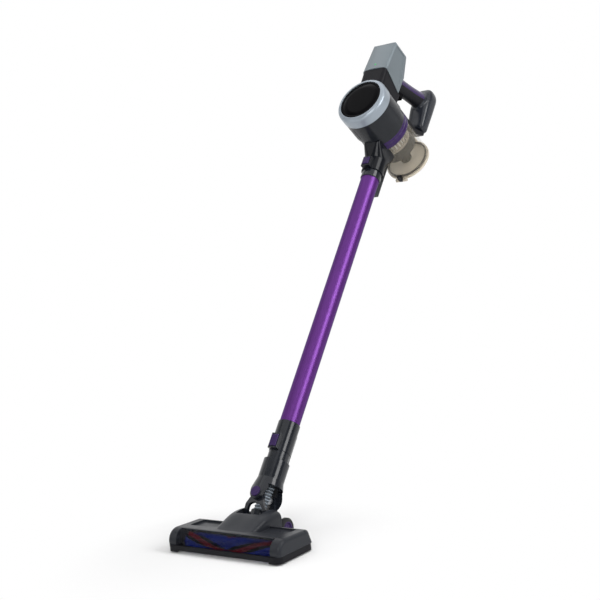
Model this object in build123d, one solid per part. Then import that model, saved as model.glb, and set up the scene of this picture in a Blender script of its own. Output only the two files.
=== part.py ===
"""Cordless stick vacuum: floor head, jointed neck, wand and hand unit.

Three frames are used. The head frame is the model's own: +X to the right, the
front of the head towards -Y, the floor at Z = 0 and the origin under the middle
of the felt strip on the sole. The wand frame has its Z along the wand, measured
up from the neck. The hand frame stands upright on the cyclone's axis: its Z runs
up to the filter cap and its Y runs back to the handle.
"""

import math
import os

from build123d import *

# Clearances
RUN_GAP = 0.35
SEAT_GAP = 0.2
PIN_GAP = 0.06
CUT_PAST = 5.0

# Floor head, in the head frame
HEAD_WIDTH = 266.0
HEAD_CORNER = 12.0
SOLE_LIFT = 3.0
SOLE_THICK = 3.0
HEAD_WALL = 3.0
BAND_TOP = 15.0
FRONT_LEDGE = 2.5
DECK_SLOPE_BACK = 9.0
END_ROUND = 7.0
END_CAP_WIDTH = 21.0
FELT_WIDTH = 9.0
FELT_END_GAP = 7.0
MOUTH_LIP_LIFT = 3.0
ROOF_THICK = 4.0
POCKET_DEPTH = 3.0
POCKET_LENGTH = 40.0
POCKET_ROUND = 5.0
SCREW_HEAD_R = 3.2
SCREW_HEAD_TALL = 2.0
SCREW_SHANK_R = 1.5
SCREW_LENGTH = 18.0
SCREW_SINK = 0.6
SCREW_EDGE = 8.0
SCREW_BUSH_GAP = 5.0
SCREW_PITCH = 17.0

# Brush roll and its drive
BRUSH_TIP_R = 17.4
BRUSH_FLOOR_GAP = 1.6
BRUSH_CORE_R = 10.0
BRUSH_END_GAP = 4.0
BRUSH_SHAFT_R = 4.0
BUSH_R = 7.0
BUSH_LENGTH = 7.0
CHAMBER_GAP = 2.6
COVER_THICK = 3.5
WINDOW_THICK = 1.9
WINDOW_TOP_ANGLE = 99.0
STRIP_TURN = 150.0
STRIP_THICK = 2.2
STRIP_RISE = 1.6
STRIP_MARGIN = 3.0
STRIP_SECTIONS = 7
STRANDS_PER_STRIP = 96
STRAND_R = 0.55
STRAND_OFFSET = 1.2
STRAND_SIDES = 4
MOTOR_R = 12.3
MOTOR_LENGTH = 58.0
MOTOR_ROUND = 1.5
MOTOR_ROOM = 3.7
MOTOR_HEADROOM = 2.2
MOTOR_FACE_GAP = 5.25
MOTOR_BOSS_R = 4.9
MOTOR_BOSS_LENGTH = 2.0
MOTOR_SHAFT_R = 1.6
MOTOR_SHAFT_DEEP = 10.0
BAY_WALL = 4.0
BAY_TAIL = 14.0
PULLEY_R = 9.0
PULLEY_TEETH = 18
TOOTH_CUT_R = 0.88
PINION_TEETH = 9
BELT_WIDTH = 4.5
BELT_THICK = 1.4
BELT_SIDE_GAP = 1.0
PULLEY_SIDE = 0.5
PULLEY_END_GAP = 3.25

CHAMBER_R = BRUSH_TIP_R + CHAMBER_GAP
CHAMBER_END = HEAD_WIDTH / 2 - END_CAP_WIDTH
MOUTH_BACK = -FELT_WIDTH / 2 - HEAD_WALL
BRUSH_Y = MOUTH_BACK + SEAT_GAP - CHAMBER_R
BRUSH_Z = BRUSH_TIP_R + BRUSH_FLOOR_GAP
HEAD_FRONT = CHAMBER_R + COVER_THICK + FRONT_LEDGE - BRUSH_Y
PINION_R = PULLEY_R * PINION_TEETH / PULLEY_TEETH
PULLEY_WIDTH = BELT_WIDTH + 2 * PULLEY_SIDE
BELT_X = PULLEY_END_GAP + PULLEY_WIDTH / 2 - CHAMBER_END
BRUSH_LEFT = BELT_X + PULLEY_WIDTH / 2 + PULLEY_END_GAP
BRUSH_RIGHT = CHAMBER_END - BRUSH_END_GAP
BRUSH_SHAFT_END = CHAMBER_END + BUSH_LENGTH
BAY_FRONT = BRUSH_Y + CHAMBER_R + BAY_WALL
MOTOR_Y = BAY_FRONT + MOTOR_ROOM + MOTOR_R
MOTOR_Z = SOLE_LIFT + SOLE_THICK + SEAT_GAP + MOTOR_R
MOTOR_LEFT = BELT_X + PULLEY_WIDTH / 2 + MOTOR_FACE_GAP
BAY_BACK = MOTOR_Y + MOTOR_R + MOTOR_ROOM + BAY_TAIL
BAY_TOP = MOTOR_Z + MOTOR_R + MOTOR_HEADROOM
BAY_SIDE = CHAMBER_END - HEAD_WALL
BAY_INNER = -MOTOR_LEFT - MOTOR_LENGTH - MOTOR_ROOM
HEAD_REAR = BAY_BACK + BAY_WALL
DECK_Z = BAY_TOP + ROOF_THICK + POCKET_DEPTH
DECK_BACK = HEAD_REAR - DECK_SLOPE_BACK

# Hump, wheels and the neck's hinge
PITCH_Y = 56.3
PITCH_Z = 41.8
TRUNNION_R = 7.0
TRUNNION_LENGTH = 11.0
TRUNNION_WALL = 3.7
BARREL_R = 14.0
BARREL_FLOOR_GAP = 1.0
HUMP_ABOVE_PIN = 20.2
HUMP_HALF = 50.0
HUMP_TOP_HALF = 46.0
HUMP_SHOULDER = 1.5
HUMP_RISES = (0.62, 0.86, 0.965)
HUMP_CROWN = 9.0
# Hump sections front to back: place along it, then shares of its half width, flat top and rise
HUMP_SHAPE = (
    (0.0, 0.9, 0.9, 0.02),
    (0.24, 0.95, 0.95, 0.34),
    (0.5, 0.98, 0.98, 0.78),
    (0.74, 1.0, 1.0, 1.0),
    (1.0, 1.0, 0.99, 0.93),
)
TONGUE_INSET = 3.0
TONGUE_CORNER = 6.0
SLOT_REACH = 26.6
SLOT_SIDE_GAP = 2.0
CHANNEL_R = 12.0
NECK_HALF = 27.0
NECK_SIDE_GAP = 1.25
WHEEL_R = 19.5
WHEEL_WIDTH = 12.0
WHEEL_ROUND = 3.0
WHEEL_HUMP_GAP = 1.5
WHEEL_ARM_THICK = 3.4
WHEEL_ARM_R = 9.0
WHEEL_ARM_ROOT = 12.0
HUB_R = 12.5
HUB_RIM = 2.0
HUB_DISH = 2.4
HUB_BOSS_R = 5.5
HUB_SCOOPS = 5
HUB_SCOOP_R = 1.5
AXLE_R = 4.0
AXLE_REACH = 1.6
AXLE_END_GAP = 0.4

HUMP_FRONT = BRUSH_Y
HUMP_REAR = PITCH_Y + TRUNNION_R + TRUNNION_WALL
HUMP_TOP = PITCH_Z + HUMP_ABOVE_PIN
SLOT_HALF = NECK_HALF + SLOT_SIDE_GAP
SLOT_FRONT = PITCH_Y - SLOT_REACH
TRUNNION_END = SLOT_HALF + TRUNNION_LENGTH
WHEEL_Y = HUMP_REAR + WHEEL_HUMP_GAP + WHEEL_R
WHEEL_ARM_X = NECK_HALF + NECK_SIDE_GAP
WHEEL_INNER_X = WHEEL_ARM_X + WHEEL_ARM_THICK + RUN_GAP
POCKET_BACK = DECK_BACK - END_ROUND
POCKET_INNER = HUMP_TOP_HALF - POCKET_ROUND

# Neck, in the wand frame
LEAN = 38.6
PITCH_S = -54.0
ROLL_S = -10.5
UPRIGHT_R = 11.0
UPRIGHT_THICK = 6.1
UPRIGHT_KNEE = 22.0
LEG_HALF = 25.0
LEG_FOOT_OUT = (12.0, 4.0)
LEG_FOOT_IN = (7.0, 8.0)
ARCH_HALF = 19.0
ARCH_RISE = 26.0
HOSE_R = 11.8
HOSE_RIB = 1.6
HOSE_WALL = 1.6
HOSE_RIBS = 20
HOSE_RIB_FROM = 0.25
HOSE_RIB_TO = 0.6
HOSE_RIB_FOOT = 0.85
HOSE_BORE_SPANS = 12
HOSE_CUFF = 6.0
HOSE_SEAT = 7.0
HOSE_ROOM = 1.1
HOSE_LEAN = 4.0
HOSE_STRAIGHT_S = 8.0
PORT_WALL = 2.6
BALL_R = 33.0
FORK_SIDE_ROOM = 0.4
FORK_ROOF = 20.5
CHEEK_R = 13.5
FLARE_RISE = 8.5
FLARE_TALL = 26.0
ROLL_PIN_R = 6.0
PIVOT_CAP_R = 10.0
PIVOT_CAP_THICK = 4.4
PIVOT_CAP_PROUD = 0.7
PIVOT_CAP_ROUND = 1.2
SLEEVE_STEP_S = 62.0
SLEEVE_TOP_S = 80.0
SLEEVE_WALL = 7.1
SLEEVE_END_WALL = 2.6
SPIGOT_WALL = 2.4
SPIGOT_LEAD = 1.2
SPIGOT_SEAT_S = 45.0
SPIGOT_END_GAP = 7.0

# Wand, in the wand frame
TUBE_R = 20.0
TUBE_WALL = 1.6
TUBE_SHOWN = 586.0
TUBE_TUCK = 14.0
COLLAR_WALL = 1.6
COLLAR_STEP = 3.0
COLLAR_CHAMFER = 0.8
LOWER_COLLAR_LENGTH = 63.0
PLUG_WALL = 2.0
PLUG_LENGTH = 40.0
PLUG_STEP = 1.4
RAIL_HALF = 7.0
RAIL_D = 37.0
NECK_RAIL_D = 28.5
RAIL_ROUND = 3.5
RAIL_OVERHANG = 20.0
RAIL_STOP = 15.0
BUTTON_HALF = 8.0
BUTTON_FRAME = 3.0
BUTTON_EDGE_GAP = 3.65
BUTTON_ROUND = 2.0
BUTTON_TRAVEL = 2.5
HEAD_BUTTON_LENGTH = 24.0
HEAD_BUTTON_RISE = 8.5
WAND_BUTTON_LENGTH = 17.0
WAND_BUTTON_RISE = 10.5
WELL_SINK = 1.0

HOSE_ROOT_R = HOSE_R - HOSE_RIB
HOSE_BORE_R = HOSE_ROOT_R - HOSE_WALL
HOSE_TOP_S = SPIGOT_SEAT_S - SEAT_GAP
PORT_TOP_S = PITCH_S + BARREL_R
HOSE_BOTTOM_S = PORT_TOP_S - HOSE_SEAT
PORT_R = HOSE_R + SEAT_GAP + PORT_WALL
UPRIGHT_IN = HOSE_LEAN + HOSE_R + HOSE_ROOM
UPRIGHT_OUT = UPRIGHT_IN + UPRIGHT_THICK
FORK_GAP = UPRIGHT_OUT + FORK_SIDE_ROOM
ROLL_PIN_END = BALL_R + PIVOT_CAP_PROUD - PIVOT_CAP_THICK - SEAT_GAP
SPIGOT_R = TUBE_R - TUBE_WALL - SEAT_GAP
SLEEVE_R = SPIGOT_R + SEAT_GAP + SLEEVE_WALL
SLEEVE_END_R = SPIGOT_R + SEAT_GAP + SLEEVE_END_WALL
COLLAR_R = TUBE_R + SEAT_GAP + COLLAR_WALL
HEAD_BUTTON_FROM_S = SLEEVE_TOP_S + RUN_GAP + BUTTON_EDGE_GAP
HEAD_BUTTON_TO_S = HEAD_BUTTON_FROM_S + HEAD_BUTTON_LENGTH
TUBE_FROM_S = SLEEVE_TOP_S + LOWER_COLLAR_LENGTH
TUBE_TO_S = TUBE_FROM_S + TUBE_SHOWN
SPIGOT_TOP_S = TUBE_FROM_S - TUBE_TUCK - SPIGOT_END_GAP
UPPER_COLLAR_TOP_S = TUBE_TO_S + TUBE_TUCK + COLLAR_STEP
PLUG_R = TUBE_R - PLUG_STEP

# Hand unit, in the hand frame
BIN_R = 52.0
BIN_WALL = 2.2
BIN_TOP = 14.0
BIN_HEIGHT = 114.0
BIN_FOOT_WALL = 1.0
BIN_FOOT_TALL = 5.0
BIN_INLET_HALF = 14.0
BIN_INLET_TALL = 22.0
BIN_INLET_ROUND = 5.0
RING_WALL = 3.3
RING_HALF = 5.0
RING_LEDGE = 8.0
RING_CHAMFER = 1.0
HOUSING_WALL = 2.8
HOUSING_STEP = 2.5
HOUSING_LOW_TALL = 18.0
HOUSING_TOP_TALL = 50.0
HOUSING_CHAMFER = 2.0
VENT_COUNT = 7
VENT_PITCH = 6.5
VENT_FROM = -150.0
VENT_HALF = 1.3
VENT_END_GAP = 8.0
CAP_PROUD = 0.5
CAP_TALL = 26.0
CAP_ROUND = 9.0
CAP_LAND = 0.5
CAP_LEDGE = 5.0
CAP_WALL = 3.0
DISC_THICK = 4.0
DISC_SAG = 1.6
LID_PROUD = 0.4
LID_THICK = 3.0
LID_RIM = 5.0
LID_RIM_WALL = 3.0
LID_RIB_RADII = (22.0, 31.0)
LID_RIB_HALF = 1.2
LID_RIB_TALL = 2.5
LID_BOSS_R = 5.0
HINGE_R = 3.6
HINGE_OUT = 4.5
HINGE_DROP = 2.6
HINGE_PIN_R = 1.6
KNUCKLE_HALF = 14.0
KNUCKLE_ROOT = 8.0
LUG_HALF = 4.25
LUG_TALL = 12.0
LATCH_HALF = 9.0
LATCH_HEIGHT = 16.0
LATCH_THICK = 3.3
LATCH_HOOK = 2.4
LATCH_TAPER = 1.0
LATCH_GRIP = 1.6
SEAL_WIDTH = 2.8
SEAL_TALL = 4.0
CYCLONE_GAP = 12.0
SHROUD_WALL = 2.0
SHROUD_TALL = 48.0
SHROUD_FLANGE = 3.0
SHROUD_SLOTS = 28
SHROUD_SLOT_HALF = 1.6
SHROUD_SLOT_GAP = 6.0
PRE_FILTER_WALL = 4.0
SKIRT_TALL = 22.0
SKIRT_FLARE = 3.0
SKIRT_WALL = 2.5
CONE_R = 13.0
CONE_WALL = 2.0
CONE_FLOOR_GAP = 4.0
FILTER_SIDE_GAP = 15.0
FILTER_PLEATS = 36
FILTER_PLEAT_DEPTH = 7.0
FILTER_BAND = 3.0
FAN_MOTOR_R = 27.0
FAN_MOTOR_TALL = 28.0
FAN_MOTOR_ROUND = 3.0
FAN_PLATE = 5.0
FAN_VENTS = 8
FAN_VENT_R = 6.0
FAN_SHAFT_R = 3.0
FAN_SHAFT_DEEP = 12.0
FAN_R = 36.0
FAN_GAP = 2.0
FAN_PLATE_THICK = 1.6
FAN_BLADES = 9
FAN_BLADE_TALL = 7.5
FAN_BLADE_HALF = 0.6
FAN_BLADE_BOW = 5.0
FAN_BLADE_ROOT = 0.8
FAN_BLADE_EDGE = 1.0
FAN_HUB_R = 9.0
FAN_HUB_TALL = 9.0
FILTER_FAN_GAP = 3.0
DUCT_LENGTH = 116.0
DUCT_WALL = 5.55
DUCT_SLEEVE_LENGTH = 32.0
DUCT_HALF = 21.0
DUCT_DROP = 33.0
DUCT_ROUND = 8.0
DUCT_LAND = 6.0
DUCT_RAIL_LENGTH = 54.0

BIN_BOTTOM = BIN_TOP - BIN_HEIGHT
BIN_RING_R = BIN_R + SEAT_GAP + RING_WALL
BIN_RING_BOTTOM = BIN_TOP - RING_HALF
HOUSING_LOW_R = BIN_RING_R
HOUSING_TOP_R = HOUSING_LOW_R + HOUSING_STEP
HOUSING_BOTTOM = BIN_TOP + RING_HALF
HOUSING_STEP_Z = HOUSING_BOTTOM + HOUSING_LOW_TALL
CAP_BOTTOM = HOUSING_STEP_Z + HOUSING_TOP_TALL
CAP_TOP = CAP_BOTTOM + CAP_TALL
CAP_R = HOUSING_TOP_R + CAP_PROUD
DISC_R = CAP_R - CAP_ROUND - CAP_LAND
DISC_SEAT_Z = CAP_TOP - DISC_THICK - SEAT_GAP
CAP_LEDGE_Z = DISC_SEAT_Z - CAP_WALL
LID_R = BIN_R + LID_PROUD
LID_TOP = BIN_BOTTOM - RUN_GAP
LID_LOW = LID_TOP - LID_THICK
LID_RIM_LOW = LID_TOP - LID_RIM
HINGE_Y = -BIN_R - HINGE_OUT
HINGE_Z = BIN_BOTTOM - HINGE_DROP
SHROUD_R = BIN_R - CYCLONE_GAP
SKIRT_TOP = BIN_TOP - SHROUD_TALL
SKIRT_BOTTOM = SKIRT_TOP - SKIRT_TALL
CONE_BOTTOM = BIN_BOTTOM + CONE_FLOOR_GAP
FAN_PLATE_LOW = HOUSING_BOTTOM + HOUSING_WALL + SEAT_GAP
FAN_MOTOR_TOP = FAN_PLATE_LOW + FAN_MOTOR_TALL
FAN_LOW = FAN_MOTOR_TOP + FAN_GAP
FILTER_R = HOUSING_TOP_R - FILTER_SIDE_GAP
FILTER_BOTTOM = FAN_LOW + FAN_HUB_TALL + FILTER_FAN_GAP
CYCLONE_S = UPPER_COLLAR_TOP_S + DUCT_LENGTH
DUCT_MOUTH_Y = RUN_GAP - DUCT_LENGTH
DUCT_SLEEVE_R = PLUG_R + RUN_GAP + DUCT_WALL
DUCT_SHOULDER_Y = DUCT_SLEEVE_LENGTH - DUCT_LENGTH
DUCT_BORE_R = PLUG_R - PLUG_WALL
WAND_BUTTON_FROM_S = UPPER_COLLAR_TOP_S + RUN_GAP + BUTTON_EDGE_GAP
WAND_BUTTON_TO_S = WAND_BUTTON_FROM_S + WAND_BUTTON_LENGTH

# Battery, in the hand frame
BATTERY_WALL = 1.8
BATTERY_SIDE_WALL = 4.8
BATTERY_ROUND = 7.0
BATTERY_CROWN = 3.5
BATTERY_SHOULDER = 8.0
BATTERY_TALL = 90.0
PANEL_EDGE = 9.0
PANEL_SINK = 0.8
BATTERY_BODY_GAP = 16.0
BATTERY_TIP_RISE = 1.0
BATTERY_LEAN = 21.0
BATTERY_CAP_DROP = 8.0
BATTERY_TOP_FALL = 5.5
BATTERY_FOOT_RISE = 14.0
BATTERY_BELLY_RUN = 45.0
BATTERY_BELLY_DROP = 2.0
CELL_R = 9.0
CELL_LENGTH = 65.0
CELL_GAP = 0.1
CELL_COLUMNS = 3
CELL_ROWS = 2
CELL_LIFT = 15.0
CELL_FRONT_GAP = 1.5
CELL_REAR_GAP = 1.5
BOARD_THICK = 1.6
BOARD_EDGE = 5.0
LED_R = 2.4
LED_BACK = 12.0
LED_PROUD = 0.5
JACK_R = 2.9
JACK_DEPTH = 8.0
JACK_WALL = 2.5
JACK_FLOOR = 2.0
JACK_LIFT = 24.0

CELL_PITCH = 2 * CELL_R + CELL_GAP
CELLS_HALF = (CELL_COLUMNS * CELL_PITCH + CELL_GAP) / 2
BATTERY_HALF = CELLS_HALF + BATTERY_SIDE_WALL
BATTERY_TIP = (HOUSING_TOP_R + BATTERY_BODY_GAP, HOUSING_STEP_Z + BATTERY_TIP_RISE)
BATTERY_FRONT_TOP = (BATTERY_TIP[0] + BATTERY_LEAN, CAP_TOP - BATTERY_CAP_DROP)
CELL_Y = BATTERY_FRONT_TOP[0] + CELL_FRONT_GAP
CELL_Z = BATTERY_TIP[1] + CELL_LIFT + CELL_R
BATTERY_REAR_Y = CELL_Y + CELL_LENGTH + CELL_REAR_GAP + JACK_FLOOR + JACK_DEPTH
BATTERY_REAR_TOP = (BATTERY_REAR_Y, BATTERY_FRONT_TOP[1] - BATTERY_TOP_FALL)
BATTERY_REAR_FOOT = (BATTERY_REAR_Y, BATTERY_TIP[1] + BATTERY_FOOT_RISE)
BATTERY_BELLY = (BATTERY_TIP[0] + BATTERY_BELLY_RUN, BATTERY_TIP[1] - BATTERY_BELLY_DROP)
JACK_Z = BATTERY_REAR_FOOT[1] + JACK_LIFT
LED_Y = BATTERY_FRONT_TOP[0] + LED_BACK

# Grip loop, in the hand frame
BRIDGE_HALF = 31.0
BRIDGE_DROP = 2.0
BRIDGE_SLOPE = 4.0
BRIDGE_ROUND = 10.0
DOCK_THICK = 7.0
DOCK_HALF = 21.0
DOCK_TAIL = 22.0
DOCK_TAIL_RAKE = 6.0
SPINE_HALF = 16.0
SPINE_THICK = 12.5
SPINE_BIN_GAP = 2.5
SPINE_KNEE_RISE = 25.0
SPINE_TOP_GAP = 3.0
SPINE_LAND = 6.5
GRIP_BACK = 44.0
GRIP_DOCK_DROP = 8.0
GRIP_RAKE = 0.338
GRIP_HALF = 17.0
GRIP_DEPTH = 20.0
GRIP_SWELL = 1.05
GRIP_WAIST = 0.97
GRIP_SPLIT = -2.0
FOOT_LEAD = 6.0
FOOT_LENGTH = 113.0
FOOT_HALF = 25.0
FOOT_TALL = 40.0
FOOT_DROP = 16.0
FOOT_WALL = 2.4
FOOT_EDGE = 3.0
FOOT_FRONT_ROUND = 5.0
FOOT_REAR_ROUND = 24.0
FOOT_SHOULDER = 15.0
FOOT_DOME = 18.0
FOOT_DOME_RISE = 1.0
FOOT_NECK = 6.0
FOOT_SWELL = 1.28
FOOT_BORE = 0.6
TRIGGER_HALF = 6.0
TRIGGER_DROP = 26.0
TRIGGER_HEIGHT = 24.0
TRIGGER_TRAVEL = 4.0
TRIGGER_PROUD = 8.0
TRIGGER_SINK = 8.0
TRIGGER_SCOOP = 3.0

SPINE_FRONT = BIN_R + SPINE_BIN_GAP
SPINE_BACK = SPINE_FRONT + SPINE_THICK
SPINE_KNEE = BIN_BOTTOM + SPINE_KNEE_RISE
GRIP_TOP_Y = BATTERY_TIP[0] + GRIP_BACK
GRIP_TOP_Z = BATTERY_BELLY[1] - GRIP_DOCK_DROP
FOOT_FROM_Y = BATTERY_TIP[0] + FOOT_LEAD
FOOT_TO_Y = FOOT_FROM_Y + FOOT_LENGTH
FOOT_BOTTOM = BIN_BOTTOM - FOOT_DROP
FOOT_TOP = FOOT_BOTTOM + FOOT_TALL
GRIP_BOTTOM_Z = FOOT_TOP + FOOT_NECK
TRIGGER_Z = GRIP_TOP_Z - TRIGGER_DROP

WAND = Pos(0, PITCH_Y, PITCH_Z) * Rot(-LEAN, 0, 0) * Pos(0, 0, -PITCH_S)
HAND_FROM_WAND = Rot(-90, 0, 0) * Pos(0, 0, -CYCLONE_S)
HAND = WAND * Pos(0, 0, CYCLONE_S) * Rot(90, 0, 0)


def ring(outer, inner, low, high):
    """Tube about Z between two heights."""
    tall = high - low
    return Pos(0, 0, (low + high) / 2) * (Cylinder(outer, tall) - Cylinder(inner, tall))


def rod(radius, low, high):
    """Round bar about Z between two heights."""
    return Pos(0, 0, (low + high) / 2) * Cylinder(radius, high - low)


def rod_x(radius, left, right, y, z):
    """Round bar along X."""
    return Pos((left + right) / 2, y, z) * Rot(0, 90, 0) * Cylinder(radius, right - left)


def rod_y(radius, front, back, x, z):
    """Round bar along Y."""
    return Pos(x, (front + back) / 2, z) * Rot(90, 0, 0) * Cylinder(radius, back - front)


def block(low, high):
    """Box between two corners."""
    size = [b - a for a, b in zip(low, high)]
    middle = [(a + b) / 2 for a, b in zip(low, high)]
    return Pos(*middle) * Box(*size)


def turned(points):
    """Solid of revolution about Z from (radius, height) points."""
    return revolve(Plane.XZ * make_face(Polyline(*points, close=True)), Axis.Z)


def slab_x(points, half):
    """Side outline in Y and Z carried across X to both sides."""
    return extrude(Plane.YZ * make_face(Polyline(*points, close=True)), amount=half, both=True)


def rounded(points, rounds):
    """Flat outline with each corner rounded by its own radius, sharp where that is 0."""
    face = make_face(Polyline(*points, close=True))
    for point, radius in zip(points, rounds):
        if radius:
            face = fillet(face.vertices().sort_by_distance(point)[0], radius)
    return face


def shrunk(face, inset):
    """Flat outline drawn in all round by an inset."""
    return offset(face, amount=-inset, kind=Kind.INTERSECTION) if inset else face


def both_sides(shape):
    """The shape and its mirror image across X = 0."""
    return shape + mirror(shape, about=Plane.YZ)


def pair(shape):
    """The shape and its mirror image as two separate solids."""
    return Compound([*shape.solids(), *mirror(shape, about=Plane.YZ).solids()])


# Floor head

def cover_outline():
    """Side outline of the cover: round over the brush, then the deck."""
    radius = CHAMBER_R + COVER_THICK
    reach = math.hypot(DECK_BACK - BRUSH_Y, DECK_Z - BRUSH_Z)
    top = math.atan2(DECK_Z - BRUSH_Z, DECK_BACK - BRUSH_Y) + math.acos(radius / reach)
    low = math.pi + math.asin((BRUSH_Z - BAND_TOP) / radius)
    on_arc = [
        (BRUSH_Y + radius * math.cos(a), BRUSH_Z + radius * math.sin(a))
        for a in (low, (low + top) / 2, top)
    ]
    arc = ThreePointArc(*on_arc)
    rest = Polyline(on_arc[2], (DECK_BACK, DECK_Z), (HEAD_REAR, BAND_TOP), on_arc[0])
    face = make_face([arc, rest])
    corner = face.vertices().sort_by_distance((DECK_BACK, DECK_Z))[0]
    return fillet(corner, END_ROUND)


def hump_section(y, half, top_half, top):
    """Bell-shaped section of the hump across X at one place along Y."""
    rise = top - BAND_TOP
    shoulder = (half + 2 * top_half) / 3 + HUMP_SHOULDER
    shoulder_rise, edge_rise, crown_rise = HUMP_RISES
    right = [
        (half, BAND_TOP),
        (shoulder, BAND_TOP + shoulder_rise * rise),
        (top_half, BAND_TOP + edge_rise * rise),
        (top_half - HUMP_CROWN, BAND_TOP + crown_rise * rise),
    ]
    left = [(-x, z) for x, z in reversed(right)]
    crown = Spline(*right, (0, top), *left)
    return Plane.XZ.offset(-y) * make_face([crown, Line(left[-1], right[0])])


def hump():
    """Saddle-shaped hump that carries the neck."""
    long = HUMP_REAR - HUMP_FRONT
    lift = HUMP_TOP - DECK_Z
    sections = [
        hump_section(HUMP_FRONT + a * long, b * HUMP_HALF, c * HUMP_TOP_HALF, DECK_Z + d * lift)
        for a, b, c, d in HUMP_SHAPE
    ]
    return loft(sections)


def head_hollows():
    """Everything that is open inside the head: brush chamber, bays, belt way, bush seats."""
    chamber = rod_x(CHAMBER_R, -CHAMBER_END, CHAMBER_END, BRUSH_Y, BRUSH_Z)
    floor = SOLE_LIFT + SOLE_THICK
    bay = block((BAY_INNER, BAY_FRONT, floor), (BAY_SIDE, BAY_BACK, BAY_TOP))
    belt_half = PULLEY_WIDTH / 2 + BELT_SIDE_GAP
    belt_way = block(
        (BELT_X - belt_half, BRUSH_Y, floor),
        (BELT_X + belt_half, MOTOR_Y, BAY_TOP),
    )
    seat = rod_x(BUSH_R + SEAT_GAP, CHAMBER_END, BRUSH_SHAFT_END + RUN_GAP, BRUSH_Y, BRUSH_Z)
    return [chamber, both_sides(bay), belt_way, both_sides(seat)]


def screw_spots():
    """Places of the sole screws."""
    side = (HEAD_WIDTH - END_CAP_WIDTH) / 2
    rear = HEAD_REAR - SCREW_EDGE
    front = BRUSH_Y - BUSH_R - SCREW_BUSH_GAP
    return [(way * side, y) for way in (-1, 1) for y in (front, rear - SCREW_PITCH, rear)]


def screw(x, y, gap, sink):
    """Sole screw on its head, or with a gap the stepped hole for it."""
    seat = SOLE_LIFT + SCREW_SINK + SCREW_HEAD_TALL
    head = rod(SCREW_HEAD_R + gap, SOLE_LIFT + sink, seat)
    shank = rod(SCREW_SHANK_R + gap, seat, seat + SCREW_LENGTH + gap)
    return Pos(x, y, 0) * (head + shank)


def sole_screws():
    """All screws in the sole."""
    return Compound([solid for x, y in screw_spots() for solid in screw(x, y, 0, SCREW_SINK).solids()])


def wheel_arm():
    """Right arm that carries a rear wheel's stub axle."""
    root = HUMP_REAR - WHEEL_ARM_ROOT
    outline = Polyline(
        (root, SOLE_LIFT), (WHEEL_Y, WHEEL_R - WHEEL_ARM_R),
        (WHEEL_Y, WHEEL_R + WHEEL_ARM_R), (HUMP_REAR + RUN_GAP, BAND_TOP), (root, BAND_TOP),
        close=True,
    )
    face = make_face(outline) + Pos(WHEEL_Y, WHEEL_R) * Circle(WHEEL_ARM_R)
    arm = extrude(Plane.YZ.offset(WHEEL_ARM_X) * face, amount=WHEEL_ARM_THICK)
    return arm - rod_x(AXLE_R + SEAT_GAP, WHEEL_ARM_X, WHEEL_INNER_X, WHEEL_Y, WHEEL_R)


def head_base():
    """Dark lower tray: sole, band, mouth and the arms for the rear wheels."""
    depth = HEAD_FRONT + HEAD_REAR
    plan = Pos(0, (HEAD_REAR - HEAD_FRONT) / 2) * RectangleRounded(HEAD_WIDTH, depth, HEAD_CORNER)
    tongue_deep = HUMP_REAR - RUN_GAP - BAY_BACK
    tongue = RectangleRounded(2 * (HUMP_HALF - TONGUE_INSET), tongue_deep, TONGUE_CORNER)
    plan += Pos(0, BAY_BACK + tongue_deep / 2) * tongue
    tray = extrude(Plane.XY.offset(SOLE_LIFT) * plan, amount=BAND_TOP - SOLE_LIFT)
    for hollow in head_hollows():
        tray -= hollow
    mouth_half = CHAMBER_END - HEAD_WALL
    mouth_front = BRUSH_Y - CHAMBER_R
    tray -= block((-mouth_half, mouth_front, 0), (mouth_half, MOUTH_BACK, BAND_TOP))
    tray -= block(
        (-mouth_half, -HEAD_FRONT - CUT_PAST, 0),
        (mouth_half, mouth_front, SOLE_LIFT + MOUTH_LIP_LIFT),
    )
    tray += both_sides(wheel_arm())
    for x, y in screw_spots():
        tray -= screw(x, y, SEAT_GAP, 0)
    return tray


def head_cover():
    """Grey upper cover with the hump, the window opening and the side pockets."""
    half = HEAD_WIDTH / 2
    cover = extrude(Plane.YZ * cover_outline(), amount=half, both=True)
    ends = cover.faces().filter_by(Axis.X).edges().filter_by(lambda e: e.center().Z > BAND_TOP + SEAT_GAP)
    cover = fillet(ends, END_ROUND)
    pocket = block(
        (POCKET_INNER, POCKET_BACK - POCKET_LENGTH, DECK_Z - POCKET_DEPTH),
        (CHAMBER_END, POCKET_BACK, HUMP_TOP),
    )
    cover -= both_sides(fillet(pocket.edges().filter_by(Axis.Z), POCKET_ROUND))
    cover += hump()
    for hollow in head_hollows():
        cover -= hollow
    slot_floor = PITCH_Z - BARREL_R - BARREL_FLOOR_GAP
    cover -= block(
        (-SLOT_HALF, SLOT_FRONT, slot_floor),
        (SLOT_HALF, HUMP_REAR + CUT_PAST, HUMP_TOP + CUT_PAST),
    )
    pin_end = TRUNNION_END + RUN_GAP
    cover -= rod_x(TRUNNION_R + PIN_GAP, -pin_end, pin_end, PITCH_Y, PITCH_Z)
    start = Vector(0, BRUSH_Y + CHAMBER_R / 2, BRUSH_Z)
    finish = Vector(0, SLOT_FRONT + CUT_PAST, PITCH_Z)
    way = Plane(origin=start, z_dir=finish - start)
    cover -= extrude(way * Circle(CHANNEL_R), amount=(finish - start).length)
    cover -= window_sector(CHAMBER_R - SEAT_GAP, CHAMBER_R + COVER_THICK + CUT_PAST, 0)
    for x, y in screw_spots():
        cover -= screw(x, y, SEAT_GAP, 0)
    return cover


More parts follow.
